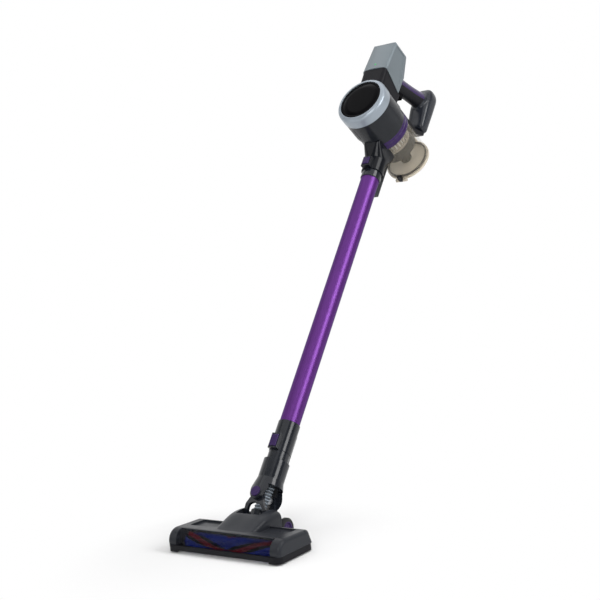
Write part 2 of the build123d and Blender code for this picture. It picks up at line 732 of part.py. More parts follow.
def window_sector(inner, outer, gap):
    """Curved strip over the front of the brush, from the band up to the deck."""
    end = CHAMBER_END - gap
    high = math.radians(WINDOW_TOP_ANGLE) + gap / inner
    arcs = []
    for radius in (outer, inner):
        low = math.pi + math.asin((BRUSH_Z - BAND_TOP - gap) / radius)
        on_arc = [
            (BRUSH_Y + radius * math.cos(a), BRUSH_Z + radius * math.sin(a))
            for a in (low, (low + high) / 2, high)
        ]
        arcs.append(on_arc)
    face = make_face([
        ThreePointArc(*arcs[0]),
        Line(arcs[0][2], arcs[1][2]),
        ThreePointArc(*arcs[1]),
        Line(arcs[1][0], arcs[0][0]),
    ])
    return extrude(Plane.YZ * face, amount=end, both=True)


def brush_window():
    """Clear curved window in front of the brush roll."""
    return window_sector(CHAMBER_R, CHAMBER_R + WINDOW_THICK, SEAT_GAP)


def felt_strip():
    """Felt strip behind the mouth, whose flat underside rests on the floor."""
    half = CHAMBER_END - FELT_END_GAP
    return block((-half, -FELT_WIDTH / 2, 0), (half, FELT_WIDTH / 2, SOLE_LIFT))


def strip_angle(x, phase):
    """Turn of a bristle strip at a place along the roll: a chevron that turns back in the middle."""
    half = (BRUSH_RIGHT - BRUSH_LEFT) / 2
    middle = (BRUSH_RIGHT + BRUSH_LEFT) / 2
    return phase + STRIP_TURN * (1 - abs(x - middle) / half)


def bristle_strip(phase):
    """One chevron strip of bristles, with the strands fused to their backing."""
    left = BRUSH_LEFT + STRIP_MARGIN
    right = BRUSH_RIGHT - STRIP_MARGIN
    root = BRUSH_CORE_R + SEAT_GAP
    middle = (left + right) / 2
    flat = Pos(root + STRIP_RISE / 2, 0) * Rectangle(STRIP_RISE, 2 * STRIP_THICK)
    backing = []
    for start, end in ((left, middle), (middle, right)):
        sections = []
        for i in range(STRIP_SECTIONS):
            x = start + (end - start) * i / (STRIP_SECTIONS - 1)
            plane = Plane(origin=(x, 0, 0), x_dir=(0, 1, 0), z_dir=(1, 0, 0))
            sections.append(plane * Rot(0, 0, strip_angle(x, phase)) * flat)
        backing.append(loft(sections))
    foot = root + STRIP_RISE / 2
    strand = extrude(RegularPolygon(STRAND_R, STRAND_SIDES), amount=BRUSH_TIP_R - foot)
    strands = []
    step = (right - left - 2 * STRIP_MARGIN) / (STRANDS_PER_STRIP - 1)
    for i in range(STRANDS_PER_STRIP):
        x = left + STRIP_MARGIN + step * i
        side = STRAND_OFFSET if i % 2 else -STRAND_OFFSET
        upright = Pos(x, foot, side) * Rot(-90, 0, 0)
        strands.append(Rot(strip_angle(x, phase), 0, 0) * upright * strand)
    strip = backing[0].fuse(backing[1], *strands)
    return Pos(0, BRUSH_Y, BRUSH_Z) * strip


def bristles(*phases):
    """The strips of one colour."""
    return Compound([solid for phase in phases for solid in bristle_strip(phase).solids()])


def brush_core():
    """Core of the brush roll with its shaft ends."""
    core = rod_x(BRUSH_CORE_R, BRUSH_LEFT, BRUSH_RIGHT, BRUSH_Y, BRUSH_Z)
    shaft = rod_x(BRUSH_SHAFT_R, -BRUSH_SHAFT_END, BRUSH_SHAFT_END, BRUSH_Y, BRUSH_Z)
    return core + shaft


def brush_bushes():
    """Plain bearings in both ends of the head."""
    bush = rod_x(BUSH_R, CHAMBER_END, BRUSH_SHAFT_END, BRUSH_Y, BRUSH_Z)
    bore = rod_x(BRUSH_SHAFT_R + PIN_GAP, CHAMBER_END, BRUSH_SHAFT_END, BRUSH_Y, BRUSH_Z)
    return pair(bush - bore)


def toothed(radius, teeth, bore, y, z):
    """Small toothed belt wheel along X, in line with the belt."""
    face = Circle(radius) - Circle(bore)
    for i in range(teeth):
        face -= Rot(0, 0, 360 * i / teeth) * Pos(radius, 0) * Circle(TOOTH_CUT_R)
    return Pos(BELT_X, y, z) * extrude(Plane.YZ * face, amount=PULLEY_WIDTH / 2, both=True)


def brush_pulley():
    """Belt pulley on the brush shaft."""
    return toothed(PULLEY_R, PULLEY_TEETH, BRUSH_SHAFT_R + SEAT_GAP, BRUSH_Y, BRUSH_Z)


def drive_belt():
    """Belt from the motor's pinion to the brush roll."""
    gap = math.hypot(MOTOR_Y - BRUSH_Y, MOTOR_Z - BRUSH_Z)
    tilt = math.degrees(math.atan2(MOTOR_Z - BRUSH_Z, MOTOR_Y - BRUSH_Y))
    inner = PULLEY_R + RUN_GAP
    small = PINION_R + RUN_GAP
    outlines = []
    for grow in (BELT_THICK, 0.0):
        big = Circle(inner + grow)
        end = Pos(gap, 0) * Circle(small + grow)
        outlines.append(make_hull([*big.edges(), *end.edges()]))
    face = outlines[0] - outlines[1]
    loop = extrude(Plane.YZ * face, amount=BELT_WIDTH / 2, both=True)
    return Pos(BELT_X, BRUSH_Y, BRUSH_Z) * Rot(tilt, 0, 0) * loop


def brush_motor():
    """Brush motor lying in the left bay."""
    can = rod_x(MOTOR_R, MOTOR_LEFT, MOTOR_LEFT + MOTOR_LENGTH, MOTOR_Y, MOTOR_Z)
    can = fillet(can.edges().filter_by(GeomType.CIRCLE), MOTOR_ROUND)
    face = MOTOR_LEFT - MOTOR_BOSS_LENGTH
    boss = rod_x(MOTOR_BOSS_R, face, MOTOR_LEFT + MOTOR_ROUND, MOTOR_Y, MOTOR_Z)
    deep = MOTOR_LEFT + MOTOR_SHAFT_DEEP + RUN_GAP
    return can + boss - rod_x(MOTOR_SHAFT_R + PIN_GAP, face, deep, MOTOR_Y, MOTOR_Z)


def motor_pinion():
    """Motor shaft with its belt pinion."""
    shaft = rod_x(
        MOTOR_SHAFT_R, BELT_X - PULLEY_WIDTH / 2, MOTOR_LEFT + MOTOR_SHAFT_DEEP, MOTOR_Y, MOTOR_Z
    )
    return toothed(PINION_R, PINION_TEETH, MOTOR_SHAFT_R / 2, MOTOR_Y, MOTOR_Z) + shaft


def wheel_tyre():
    """Right rear tyre."""
    mid = WHEEL_WIDTH / 2
    flat = mid - WHEEL_ROUND
    inner = HUB_R + SEAT_GAP
    tyre = turned([
        (inner, -mid), (WHEEL_R - WHEEL_ROUND, -mid), (WHEEL_R, -flat),
        (WHEEL_R, flat), (WHEEL_R - WHEEL_ROUND, mid), (inner, mid),
    ])
    return Pos(WHEEL_INNER_X + mid, WHEEL_Y, WHEEL_R) * Rot(0, 90, 0) * tyre


def wheel_hub():
    """Right wheel hub: a dished disc with shallow scoops round its boss."""
    mid = WHEEL_WIDTH / 2
    floor = mid - HUB_DISH
    boss = floor + HUB_DISH / 2
    rim = HUB_R - HUB_RIM
    hub = rod(HUB_R, -mid, mid)
    hub -= turned([
        (0, mid), (rim, mid), (rim - HUB_DISH / 2, floor), (HUB_BOSS_R, floor),
        (HUB_BOSS_R - HUB_DISH / 2, boss), (0, boss),
    ])
    scoop_at = (rim + HUB_BOSS_R) / 2
    for i in range(HUB_SCOOPS):
        hub -= Rot(0, 0, 360 * i / HUB_SCOOPS) * Pos(scoop_at, 0, floor) * Sphere(HUB_SCOOP_R)
    hub -= rod(AXLE_R + PIN_GAP, -mid, AXLE_REACH + AXLE_END_GAP)
    return Pos(WHEEL_INNER_X + mid, WHEEL_Y, WHEEL_R) * Rot(0, 90, 0) * hub


def wheel_axles():
    """Stub axles of the rear wheels."""
    end = WHEEL_INNER_X + WHEEL_WIDTH / 2 + AXLE_REACH
    return pair(rod_x(AXLE_R, WHEEL_ARM_X, end, WHEEL_Y, WHEEL_R))


# Neck, in the wand frame with the front towards -Y

def yoke_upright():
    """Front upright of the yoke: an arch whose legs lean out from the barrel, up to the roll pin."""
    top = ROLL_S + UPRIGHT_R
    knee = PITCH_S + UPRIGHT_KNEE
    feet = [(-y, PITCH_S + s) for y, s in (LEG_FOOT_OUT, LEG_FOOT_IN)]
    side = slab_x(
        [*feet, (-UPRIGHT_IN, knee), (-UPRIGHT_IN, top), (-UPRIGHT_OUT, top), (-UPRIGHT_OUT, knee)],
        LEG_HALF,
    )
    face = make_face(Polyline(
        (-UPRIGHT_R, ROLL_S), (UPRIGHT_R, ROLL_S), (LEG_HALF, PORT_TOP_S), (LEG_HALF, PITCH_S),
        (-LEG_HALF, PITCH_S), (-LEG_HALF, PORT_TOP_S),
        close=True,
    ))
    face += Pos(0, ROLL_S) * Circle(UPRIGHT_R)
    face -= Pos(0, PITCH_S + ARCH_RISE - ARCH_HALF) * Circle(ARCH_HALF)
    return side & extrude(Plane.XZ * face, amount=BALL_R, both=True)


def neck_yoke():
    """Yoke that pitches in the hump: barrel, hose port and two arched uprights for the roll pins."""
    yoke = rod_x(BARREL_R, -SLOT_HALF + RUN_GAP, SLOT_HALF - RUN_GAP, 0, PITCH_S)
    yoke += rod_x(TRUNNION_R, -TRUNNION_END, TRUNNION_END, 0, PITCH_S)
    upright = yoke_upright()
    port_at = Pos(0, -HOSE_LEAN, 0)
    yoke += [upright, mirror(upright, about=Plane.XZ), port_at * rod(PORT_R, PITCH_S, PORT_TOP_S)]
    yoke -= port_at * rod(HOSE_R + SEAT_GAP, HOSE_BOTTOM_S - SEAT_GAP, PORT_TOP_S)
    yoke -= port_at * rod(HOSE_BORE_R, PITCH_S, HOSE_BOTTOM_S)
    return yoke - rod_y(ROLL_PIN_R + SEAT_GAP, -UPRIGHT_OUT, UPRIGHT_OUT, 0, ROLL_S)


def roll_pins():
    """Front and rear pins on which the fork rolls."""
    front = rod_y(ROLL_PIN_R, -ROLL_PIN_END, -UPRIGHT_IN, 0, ROLL_S)
    rear = rod_y(ROLL_PIN_R, UPRIGHT_IN, ROLL_PIN_END, 0, ROLL_S)
    return Compound([front, rear])


def hose_y(s):
    """Forward offset of the hose along the neck: it leans forward towards its port."""
    run = (s - PORT_TOP_S) / (HOSE_STRAIGHT_S - PORT_TOP_S)
    run = min(max(run, 0.0), 1.0)
    return -HOSE_LEAN * (1 - run * run * (3 - 2 * run))


def hose_ring(s, radius):
    """Circle across the hose at one place."""
    return Pos(0, hose_y(s), s) * Circle(radius)


def neck_hose():
    """Ribbed hose between the port and the neck, with plain cuffs."""
    low = HOSE_BOTTOM_S + HOSE_CUFF
    high = HOSE_TOP_S - HOSE_CUFF
    pitch = (high - low) / HOSE_RIBS
    rings = [hose_ring(HOSE_BOTTOM_S, HOSE_R), hose_ring(low - pitch / 4, HOSE_R)]
    for i in range(HOSE_RIBS):
        start = low + i * pitch
        rings.append(hose_ring(start, HOSE_ROOT_R))
        rings.append(hose_ring(start + HOSE_RIB_FROM * pitch, HOSE_R))
        rings.append(hose_ring(start + HOSE_RIB_TO * pitch, HOSE_R))
        rings.append(hose_ring(start + HOSE_RIB_FOOT * pitch, HOSE_ROOT_R))
    rings += [hose_ring(high, HOSE_ROOT_R), hose_ring(high + pitch / 4, HOSE_R)]
    rings.append(hose_ring(HOSE_TOP_S, HOSE_R))
    step = (HOSE_TOP_S - HOSE_BOTTOM_S) / HOSE_BORE_SPANS
    stations = [HOSE_BOTTOM_S + step * i for i in range(HOSE_BORE_SPANS + 1)]
    bore = loft([hose_ring(s, HOSE_BORE_R) for s in stations], ruled=True)
    return loft(rings, ruled=True) - bore


def front_cheek():
    """Front cheek of the fork seen from the front: round at the pin, widening up to the ball."""
    roof = ROLL_S + FORK_ROOF
    wide = math.sqrt(BALL_R ** 2 - FORK_GAP ** 2)
    face = make_face(Polyline(
        (-CHEEK_R, ROLL_S), (CHEEK_R, ROLL_S), (wide, roof), (-wide, roof), close=True
    ))
    face += Pos(0, ROLL_S) * Circle(CHEEK_R)
    return extrude(Plane.XZ * face, amount=BALL_R + CUT_PAST, both=True)


def neck_fork():
    """Ball-shaped fork with front and rear cheeks, open at the sides, and the sleeve above it."""
    past = BALL_R + CUT_PAST
    low = ROLL_S - past
    roof = ROLL_S + FORK_ROOF
    flare_s = ROLL_S + FLARE_RISE
    fork = Pos(0, 0, ROLL_S) * Sphere(BALL_R)
    fork += turned([
        (0, flare_s), (math.sqrt(BALL_R ** 2 - FLARE_RISE ** 2), flare_s),
        (SLEEVE_R, flare_s + FLARE_TALL), (SLEEVE_R, SLEEVE_STEP_S), (SLEEVE_END_R, SLEEVE_STEP_S),
        (SLEEVE_END_R, SLEEVE_TOP_S), (0, SLEEVE_TOP_S),
    ])
    fork += rail(SLEEVE_STEP_S, SLEEVE_TOP_S, NECK_RAIL_D)
    fork -= block((-past, -FORK_GAP, low), (past, FORK_GAP, roof))
    fork -= block((-past, -past, low), (past, 0, roof)) - front_cheek()
    fork -= rod(HOSE_R + SEAT_GAP, ROLL_S, SPIGOT_SEAT_S)
    fork -= rod(SPIGOT_R + SEAT_GAP, SPIGOT_SEAT_S, SLEEVE_TOP_S)
    fork -= rod_y(ROLL_PIN_R + PIN_GAP, -BALL_R, BALL_R, 0, ROLL_S)
    for way in (-1, 1):
        fork -= rod_y(PIVOT_CAP_R + SEAT_GAP, *pivot_cap_span(way, past), 0, ROLL_S)
    return fork


def pivot_cap_span(way, far):
    """Front and back of a pivot cap's seat, from the pin's end out to a distance."""
    return sorted((way * (ROLL_PIN_END + SEAT_GAP), way * far))


def pivot_caps():
    """Round caps over the roll pins, front and rear."""
    caps = []
    for way in (-1, 1):
        cap = rod_y(PIVOT_CAP_R, *pivot_cap_span(way, BALL_R + PIVOT_CAP_PROUD), 0, ROLL_S)
        face = cap.edges().sort_by(Axis.Y)[0 if way < 0 else -1]
        caps.append(fillet(face, PIVOT_CAP_ROUND))
    return Compound([solid for cap in caps for solid in cap.solids()])


def neck_spigot():
    """Inner tube that plugs the neck into the wand's lower collar."""
    return turned([
        (SPIGOT_R - SPIGOT_WALL, SPIGOT_SEAT_S), (SPIGOT_R, SPIGOT_SEAT_S),
        (SPIGOT_R, SPIGOT_TOP_S - SPIGOT_LEAD), (SPIGOT_R - SPIGOT_LEAD, SPIGOT_TOP_S),
        (SPIGOT_R - SPIGOT_WALL, SPIGOT_TOP_S),
    ])


# Wand

def rail(low, high, deep):
    """Contact rail along the back of a collar, rounded at its corners."""
    bar = block((-RAIL_HALF, TUBE_R, low), (RAIL_HALF, deep, high))
    return fillet(bar.faces().sort_by(Axis.Y)[-1].edges(), RAIL_ROUND)


def wand_tube():
    """Thin anodised tube."""
    return ring(TUBE_R, TUBE_R - TUBE_WALL, TUBE_FROM_S - TUBE_TUCK, TUBE_TO_S + TUBE_TUCK)


def lower_collar():
    """Collar at the foot of the wand, with the rail and the release button's well."""
    low = SLEEVE_TOP_S + RUN_GAP
    tuck = TUBE_FROM_S - TUBE_TUCK
    collar = rod(COLLAR_R, low, TUBE_FROM_S)
    collar = chamfer(collar.edges().sort_by(Axis.Z)[-1], COLLAR_CHAMFER)
    collar += rail(low, TUBE_FROM_S - RAIL_STOP, NECK_RAIL_D)
    frame = block(
        (-BUTTON_HALF - BUTTON_FRAME, BUTTON_TRAVEL - COLLAR_R - HEAD_BUTTON_RISE, low),
        (BUTTON_HALF + BUTTON_FRAME, -SPIGOT_R, HEAD_BUTTON_TO_S + BUTTON_FRAME),
    )
    collar += fillet(frame.edges().filter_by(Axis.Z), BUTTON_ROUND)
    collar -= rod(SPIGOT_R + RUN_GAP, low, tuck)
    collar -= rod(TUBE_R + SEAT_GAP, tuck, TUBE_FROM_S)
    return collar - button_well(HEAD_BUTTON_FROM_S, HEAD_BUTTON_TO_S, COLLAR_R)


def button_well(low, high, seat):
    """Blind well for a push button on the front of a round collar, deep enough for its travel."""
    return block(
        (-BUTTON_HALF - RUN_GAP, -RAIL_D - CUT_PAST, low - RUN_GAP),
        (BUTTON_HALF + RUN_GAP, WELL_SINK - seat, high + RUN_GAP),
    )


def push_button(low, high, seat, rise):
    """Front push button with a crowned face, its foot clear of the well by the travel."""
    foot = seat - WELL_SINK + BUTTON_TRAVEL + RUN_GAP
    body = block((-BUTTON_HALF, -seat - rise, low), (BUTTON_HALF, -foot, high))
    return fillet(body.faces().sort_by(Axis.Y)[0].edges(), BUTTON_ROUND)


def head_release_button():
    """Button on the lower collar that frees the floor head."""
    return push_button(HEAD_BUTTON_FROM_S, HEAD_BUTTON_TO_S, COLLAR_R, HEAD_BUTTON_RISE)


def upper_collar():
    """Collar at the head of the wand, its plug and its contact rail."""
    tuck = TUBE_TO_S + TUBE_TUCK
    top = UPPER_COLLAR_TOP_S
    collar = rod(COLLAR_R, TUBE_TO_S, top)
    collar = chamfer(collar.edges().sort_by(Axis.Z)[0], COLLAR_CHAMFER)
    collar += rod(PLUG_R, top, top + PLUG_LENGTH)
    collar += rail(TUBE_TO_S - RAIL_OVERHANG, top, RAIL_D)
    collar -= rod(TUBE_R + SEAT_GAP, TUBE_TO_S - RAIL_OVERHANG, tuck)
    return collar - rod(PLUG_R - PLUG_WALL, tuck, top + PLUG_LENGTH)


# Hand unit, in the hand frame

def core_envelope(gap):
    """Outside of the bin, ring, housing and cap, grown by a gap, for cutting what hugs them."""
    step = HOUSING_STEP_Z - HOUSING_CHAMFER - gap
    ring_low = BIN_RING_BOTTOM - gap
    cap_low = CAP_BOTTOM - gap
    bottom = BIN_BOTTOM - CUT_PAST
    top = CAP_TOP + CUT_PAST
    return turned([
        (0, bottom), (BIN_R + gap, bottom), (BIN_R + gap, ring_low), (BIN_RING_R + gap, ring_low),
        (BIN_RING_R + gap, step), (HOUSING_TOP_R + gap, step), (HOUSING_TOP_R + gap, cap_low),
        (CAP_R + gap, cap_low), (CAP_R + gap, top), (0, top),
    ])


def motor_housing():
    """Two-step round housing over the fan motor."""
    wall = HOUSING_WALL
    floor_hole = FAN_MOTOR_R + FAN_VENT_R
    shell = turned([
        (floor_hole, HOUSING_BOTTOM), (HOUSING_LOW_R, HOUSING_BOTTOM),
        (HOUSING_LOW_R, HOUSING_STEP_Z - HOUSING_CHAMFER), (HOUSING_TOP_R, HOUSING_STEP_Z),
        (HOUSING_TOP_R, CAP_BOTTOM), (HOUSING_TOP_R - wall, CAP_BOTTOM),
        (HOUSING_TOP_R - wall, HOUSING_STEP_Z + wall), (HOUSING_LOW_R - wall, HOUSING_STEP_Z),
        (HOUSING_LOW_R - wall, HOUSING_BOTTOM + wall), (floor_hole, HOUSING_BOTTOM + wall),
    ])
    vent = block(
        (HOUSING_TOP_R - 2 * wall, -VENT_HALF, HOUSING_STEP_Z + VENT_END_GAP),
        (HOUSING_TOP_R + CUT_PAST, VENT_HALF, CAP_BOTTOM - VENT_END_GAP),
    )
    for i in range(VENT_COUNT):
        shell -= Rot(0, 0, VENT_FROM + VENT_PITCH * i) * vent
    return shell


def filter_cap_ring():
    """Silver ring of the filter cap, rounded over its top edge."""
    inner = DISC_R + SEAT_GAP
    ledge = inner - CAP_LEDGE
    shoulder = CAP_TOP - CAP_ROUND
    profile = make_face([
        Polyline(
            (ledge, CAP_LEDGE_Z), (ledge, DISC_SEAT_Z), (inner, DISC_SEAT_Z), (inner, CAP_TOP),
            (CAP_R - CAP_ROUND, CAP_TOP),
        ),
        RadiusArc((CAP_R - CAP_ROUND, CAP_TOP), (CAP_R, shoulder), CAP_ROUND),
        Polyline(
            (CAP_R, shoulder), (CAP_R, CAP_BOTTOM), (CAP_R - CAP_WALL, CAP_BOTTOM),
            (CAP_R - CAP_WALL, CAP_LEDGE_Z), (ledge, CAP_LEDGE_Z),
        ),
    ])
    return revolve(Plane.XZ * profile, Axis.Z)


def filter_cap_disc():
    """Black gloss disc in the cap, a shallow dome."""
    low = CAP_TOP - DISC_THICK
    dome = (DISC_R ** 2 + DISC_SAG ** 2) / (2 * DISC_SAG)
    half = math.asin(DISC_R / dome) / 2
    rim = (DISC_R, CAP_TOP - DISC_SAG)
    between = (dome * math.sin(half), CAP_TOP - dome * (1 - math.cos(half)))
    profile = make_face([
        Polyline((0, CAP_TOP), (0, low), (DISC_R, low), rim),
        ThreePointArc(rim, between, (0, CAP_TOP)),
    ])
    return revolve(Plane.XZ * profile, Axis.Z)


def exhaust_filter():
    """Pleated exhaust filter under the cap."""
    points = []
    for i in range(2 * FILTER_PLEATS):
        radius = FILTER_R - (FILTER_PLEAT_DEPTH if i % 2 else 0)
        turn = math.pi * i / FILTER_PLEATS
        points.append((radius * math.cos(turn), radius * math.sin(turn)))
    inner = FILTER_R - FILTER_PLEAT_DEPTH - FILTER_BAND
    face = make_face(Polyline(*points, close=True)) - Circle(inner)
    tall = CAP_LEDGE_Z - RUN_GAP - FILTER_BOTTOM
    pleats = extrude(Plane.XY.offset(FILTER_BOTTOM) * face, amount=tall)
    outer = HOUSING_TOP_R - HOUSING_WALL - SEAT_GAP
    return pleats + ring(outer, inner, FILTER_BOTTOM - FILTER_BAND, FILTER_BOTTOM)


def fan_motor():
    """Fan motor can on its mounting plate."""
    can = rod(FAN_MOTOR_R, FAN_PLATE_LOW, FAN_MOTOR_TOP)
    can = fillet(can.edges().filter_by(GeomType.CIRCLE), FAN_MOTOR_ROUND)
    plate_top = FAN_PLATE_LOW + FAN_PLATE
    plate = rod(HOUSING_LOW_R - HOUSING_WALL - SEAT_GAP, FAN_PLATE_LOW, plate_top)
    vent = Pos(FAN_MOTOR_R + 2 * FAN_VENT_R, 0, 0) * rod(FAN_VENT_R, FAN_PLATE_LOW, plate_top)
    for i in range(FAN_VENTS):
        plate -= Rot(0, 0, 360 * i / FAN_VENTS) * vent
    shaft_low = FAN_MOTOR_TOP - FAN_SHAFT_DEEP - RUN_GAP
    return can + plate - rod(FAN_SHAFT_R + PIN_GAP, shaft_low, FAN_MOTOR_TOP)


def fan_impeller():
    """Spinning fan on the motor shaft: back plate, hub and curved blades."""
    fan = rod(FAN_R, FAN_LOW, FAN_LOW + FAN_PLATE_THICK)
    fan += rod(FAN_SHAFT_R, FAN_MOTOR_TOP - FAN_SHAFT_DEEP, FAN_LOW + FAN_PLATE_THICK)
    hub_top = FAN_LOW + FAN_HUB_TALL
    fan += turned([(0, FAN_LOW), (FAN_HUB_R, FAN_LOW), (FAN_HUB_R / 2, hub_top), (0, hub_top)])
    root = FAN_HUB_R * FAN_BLADE_ROOT
    line = ThreePointArc((root, 0), (FAN_R / 2, FAN_BLADE_BOW), (FAN_R - FAN_BLADE_EDGE, -FAN_BLADE_BOW))
    face = make_face(offset(line, amount=FAN_BLADE_HALF))
    blade = extrude(Plane.XY.offset(FAN_LOW + FAN_PLATE_THICK / 2) * face, amount=FAN_BLADE_TALL)
    for i in range(FAN_BLADES):
        fan += Rot(0, 0, 360 * i / FAN_BLADES) * blade
    return fan


def bin_ring():
    """Purple ring that joins the bin to the housing."""
    inner = BIN_R - RING_LEDGE
    seat = BIN_R + SEAT_GAP
    return turned([
        (inner, BIN_TOP), (seat, BIN_TOP), (seat, BIN_RING_BOTTOM),
        (BIN_RING_R - RING_CHAMFER, BIN_RING_BOTTOM), (BIN_RING_R, BIN_RING_BOTTOM + RING_CHAMFER),
        (BIN_RING_R, HOUSING_BOTTOM), (inner, HOUSING_BOTTOM),
    ])


def dust_bin():
    """Clear bin cylinder with its side inlet and a thicker foot."""
    wall = ring(BIN_R, BIN_R - BIN_WALL, BIN_BOTTOM, BIN_TOP)
    wall += ring(BIN_R, BIN_R - BIN_WALL - BIN_FOOT_WALL, BIN_BOTTOM, BIN_BOTTOM + BIN_FOOT_TALL)
    low = -BIN_INLET_HALF
    hole = block((low, -BIN_R - CUT_PAST, low), (BIN_INLET_HALF, 0, low + BIN_INLET_TALL))
    return wall - fillet(hole.edges().filter_by(Axis.Y), BIN_INLET_ROUND)


def bin_lid():
    """Hinged lid with a rim, round ribs and its hinge knuckles."""
    lid = rod(LID_R, LID_LOW, LID_TOP)
    lid += ring(LID_R, LID_R - LID_RIM_WALL, LID_RIM_LOW, LID_LOW)
    for radius in LID_RIB_RADII:
        lid += ring(radius + LID_RIB_HALF, radius - LID_RIB_HALF, LID_LOW - LID_RIB_TALL, LID_LOW)
    lid += rod(LID_BOSS_R, LID_LOW - LID_RIB_TALL, LID_LOW)
    gap = LUG_HALF + RUN_GAP
    knuckle = rod_x(HINGE_R, gap, KNUCKLE_HALF, HINGE_Y, HINGE_Z)
    knuckle += block((gap, HINGE_Y, LID_LOW), (KNUCKLE_HALF, -BIN_R + KNUCKLE_ROOT, LID_TOP))
    lid += both_sides(knuckle)
    return lid - rod_x(HINGE_PIN_R + PIN_GAP, -KNUCKLE_HALF, KNUCKLE_HALF, HINGE_Y, HINGE_Z)


def hinge_lug():
    """Middle knuckle that stands on the bin wall and holds the lid's pin."""
    lug = rod_x(HINGE_R, -LUG_HALF, LUG_HALF, HINGE_Y, HINGE_Z)
    lug += block((-LUG_HALF, HINGE_Y - HINGE_R, HINGE_Z), (LUG_HALF, -BIN_R / 2, BIN_BOTTOM + LUG_TALL))
    lug -= rod(BIN_R + SEAT_GAP, BIN_BOTTOM, BIN_TOP)
    lug -= rod(LID_R + RUN_GAP, HINGE_Z - HINGE_R, BIN_BOTTOM)
    return lug - rod_x(HINGE_PIN_R + SEAT_GAP, -LUG_HALF, LUG_HALF, HINGE_Y, HINGE_Z)


def lid_pin():
    """Hinge pin of the lid."""
    return rod_x(HINGE_PIN_R, -KNUCKLE_HALF, KNUCKLE_HALF, HINGE_Y, HINGE_Z)


def lid_seal():
    """Rubber ring between the lid and the bin, let into the bin's foot."""
    outer = BIN_R - BIN_WALL - BIN_FOOT_WALL - SEAT_GAP
    return ring(outer, outer - SEAL_WIDTH, BIN_BOTTOM, BIN_BOTTOM + SEAL_TALL)


def lid_latch():
    """Latch on the back of the bin that hooks under the lid's rim."""
    face = LID_R + RUN_GAP
    front = LID_R - LATCH_GRIP
    hook = LID_RIM_LOW - RUN_GAP
    top = BIN_BOTTOM + LATCH_HEIGHT
    back = face + LATCH_THICK
    foot = hook - LATCH_HOOK
    outline = [(0, top), (back - LATCH_TAPER, top), (back, BIN_BOTTOM), (back, foot), (0, foot)]
    latch = slab_x(outline, LATCH_HALF) - rod(face, hook, top)
    return latch - rod(front, foot, hook)


def shroud():
    """Cyclone shroud: a slotted sleeve hung under the ring."""
    inner = SHROUD_R - SHROUD_WALL
    sleeve = ring(SHROUD_R, inner, SKIRT_TOP, BIN_TOP)
    sleeve += ring(BIN_R - BIN_WALL - SEAT_GAP, inner, BIN_TOP - SHROUD_FLANGE, BIN_TOP)
    slot = block(
        (SHROUD_R / 2, -SHROUD_SLOT_HALF, SKIRT_TOP + SHROUD_SLOT_GAP),
        (SHROUD_R + CUT_PAST, SHROUD_SLOT_HALF, BIN_TOP - SHROUD_FLANGE - SHROUD_SLOT_GAP),
    )
    for i in range(SHROUD_SLOTS):
        sleeve -= Rot(0, 0, 360 * i / SHROUD_SLOTS) * slot
    return sleeve


def pre_filter():
    """Cloth filter cup inside the shroud."""
    outer = SHROUD_R - SHROUD_WALL - SEAT_GAP
    cup = ring(outer, outer - PRE_FILTER_WALL, SKIRT_TOP, BIN_TOP)
    return cup + rod(outer, SKIRT_TOP, SKIRT_TOP + PRE_FILTER_WALL)


def cyclone_skirt():
    """Flared grey skirt under the shroud, with the cone and centre tube."""
    flare = SHROUD_R + SKIRT_FLARE
    roof = SKIRT_TOP - 2 * SKIRT_WALL
    under = roof - SKIRT_WALL
    cone_low = SKIRT_BOTTOM - 2 * CONE_WALL
    bore = CONE_R - CONE_WALL
    wide = CONE_R + 3 * CONE_WALL
    return turned([
        (SHROUD_R, SKIRT_TOP), (SHROUD_R + SKIRT_FLARE / 2, roof), (flare, SKIRT_BOTTOM),
        (flare - SKIRT_WALL, SKIRT_BOTTOM), (SHROUD_R - SKIRT_WALL, under), (wide + CONE_WALL, under),
        (CONE_R, cone_low), (CONE_R, CONE_BOTTOM), (bore, CONE_BOTTOM), (bore, cone_low),
        (wide, roof), (0, roof), (0, SKIRT_TOP),
    ])


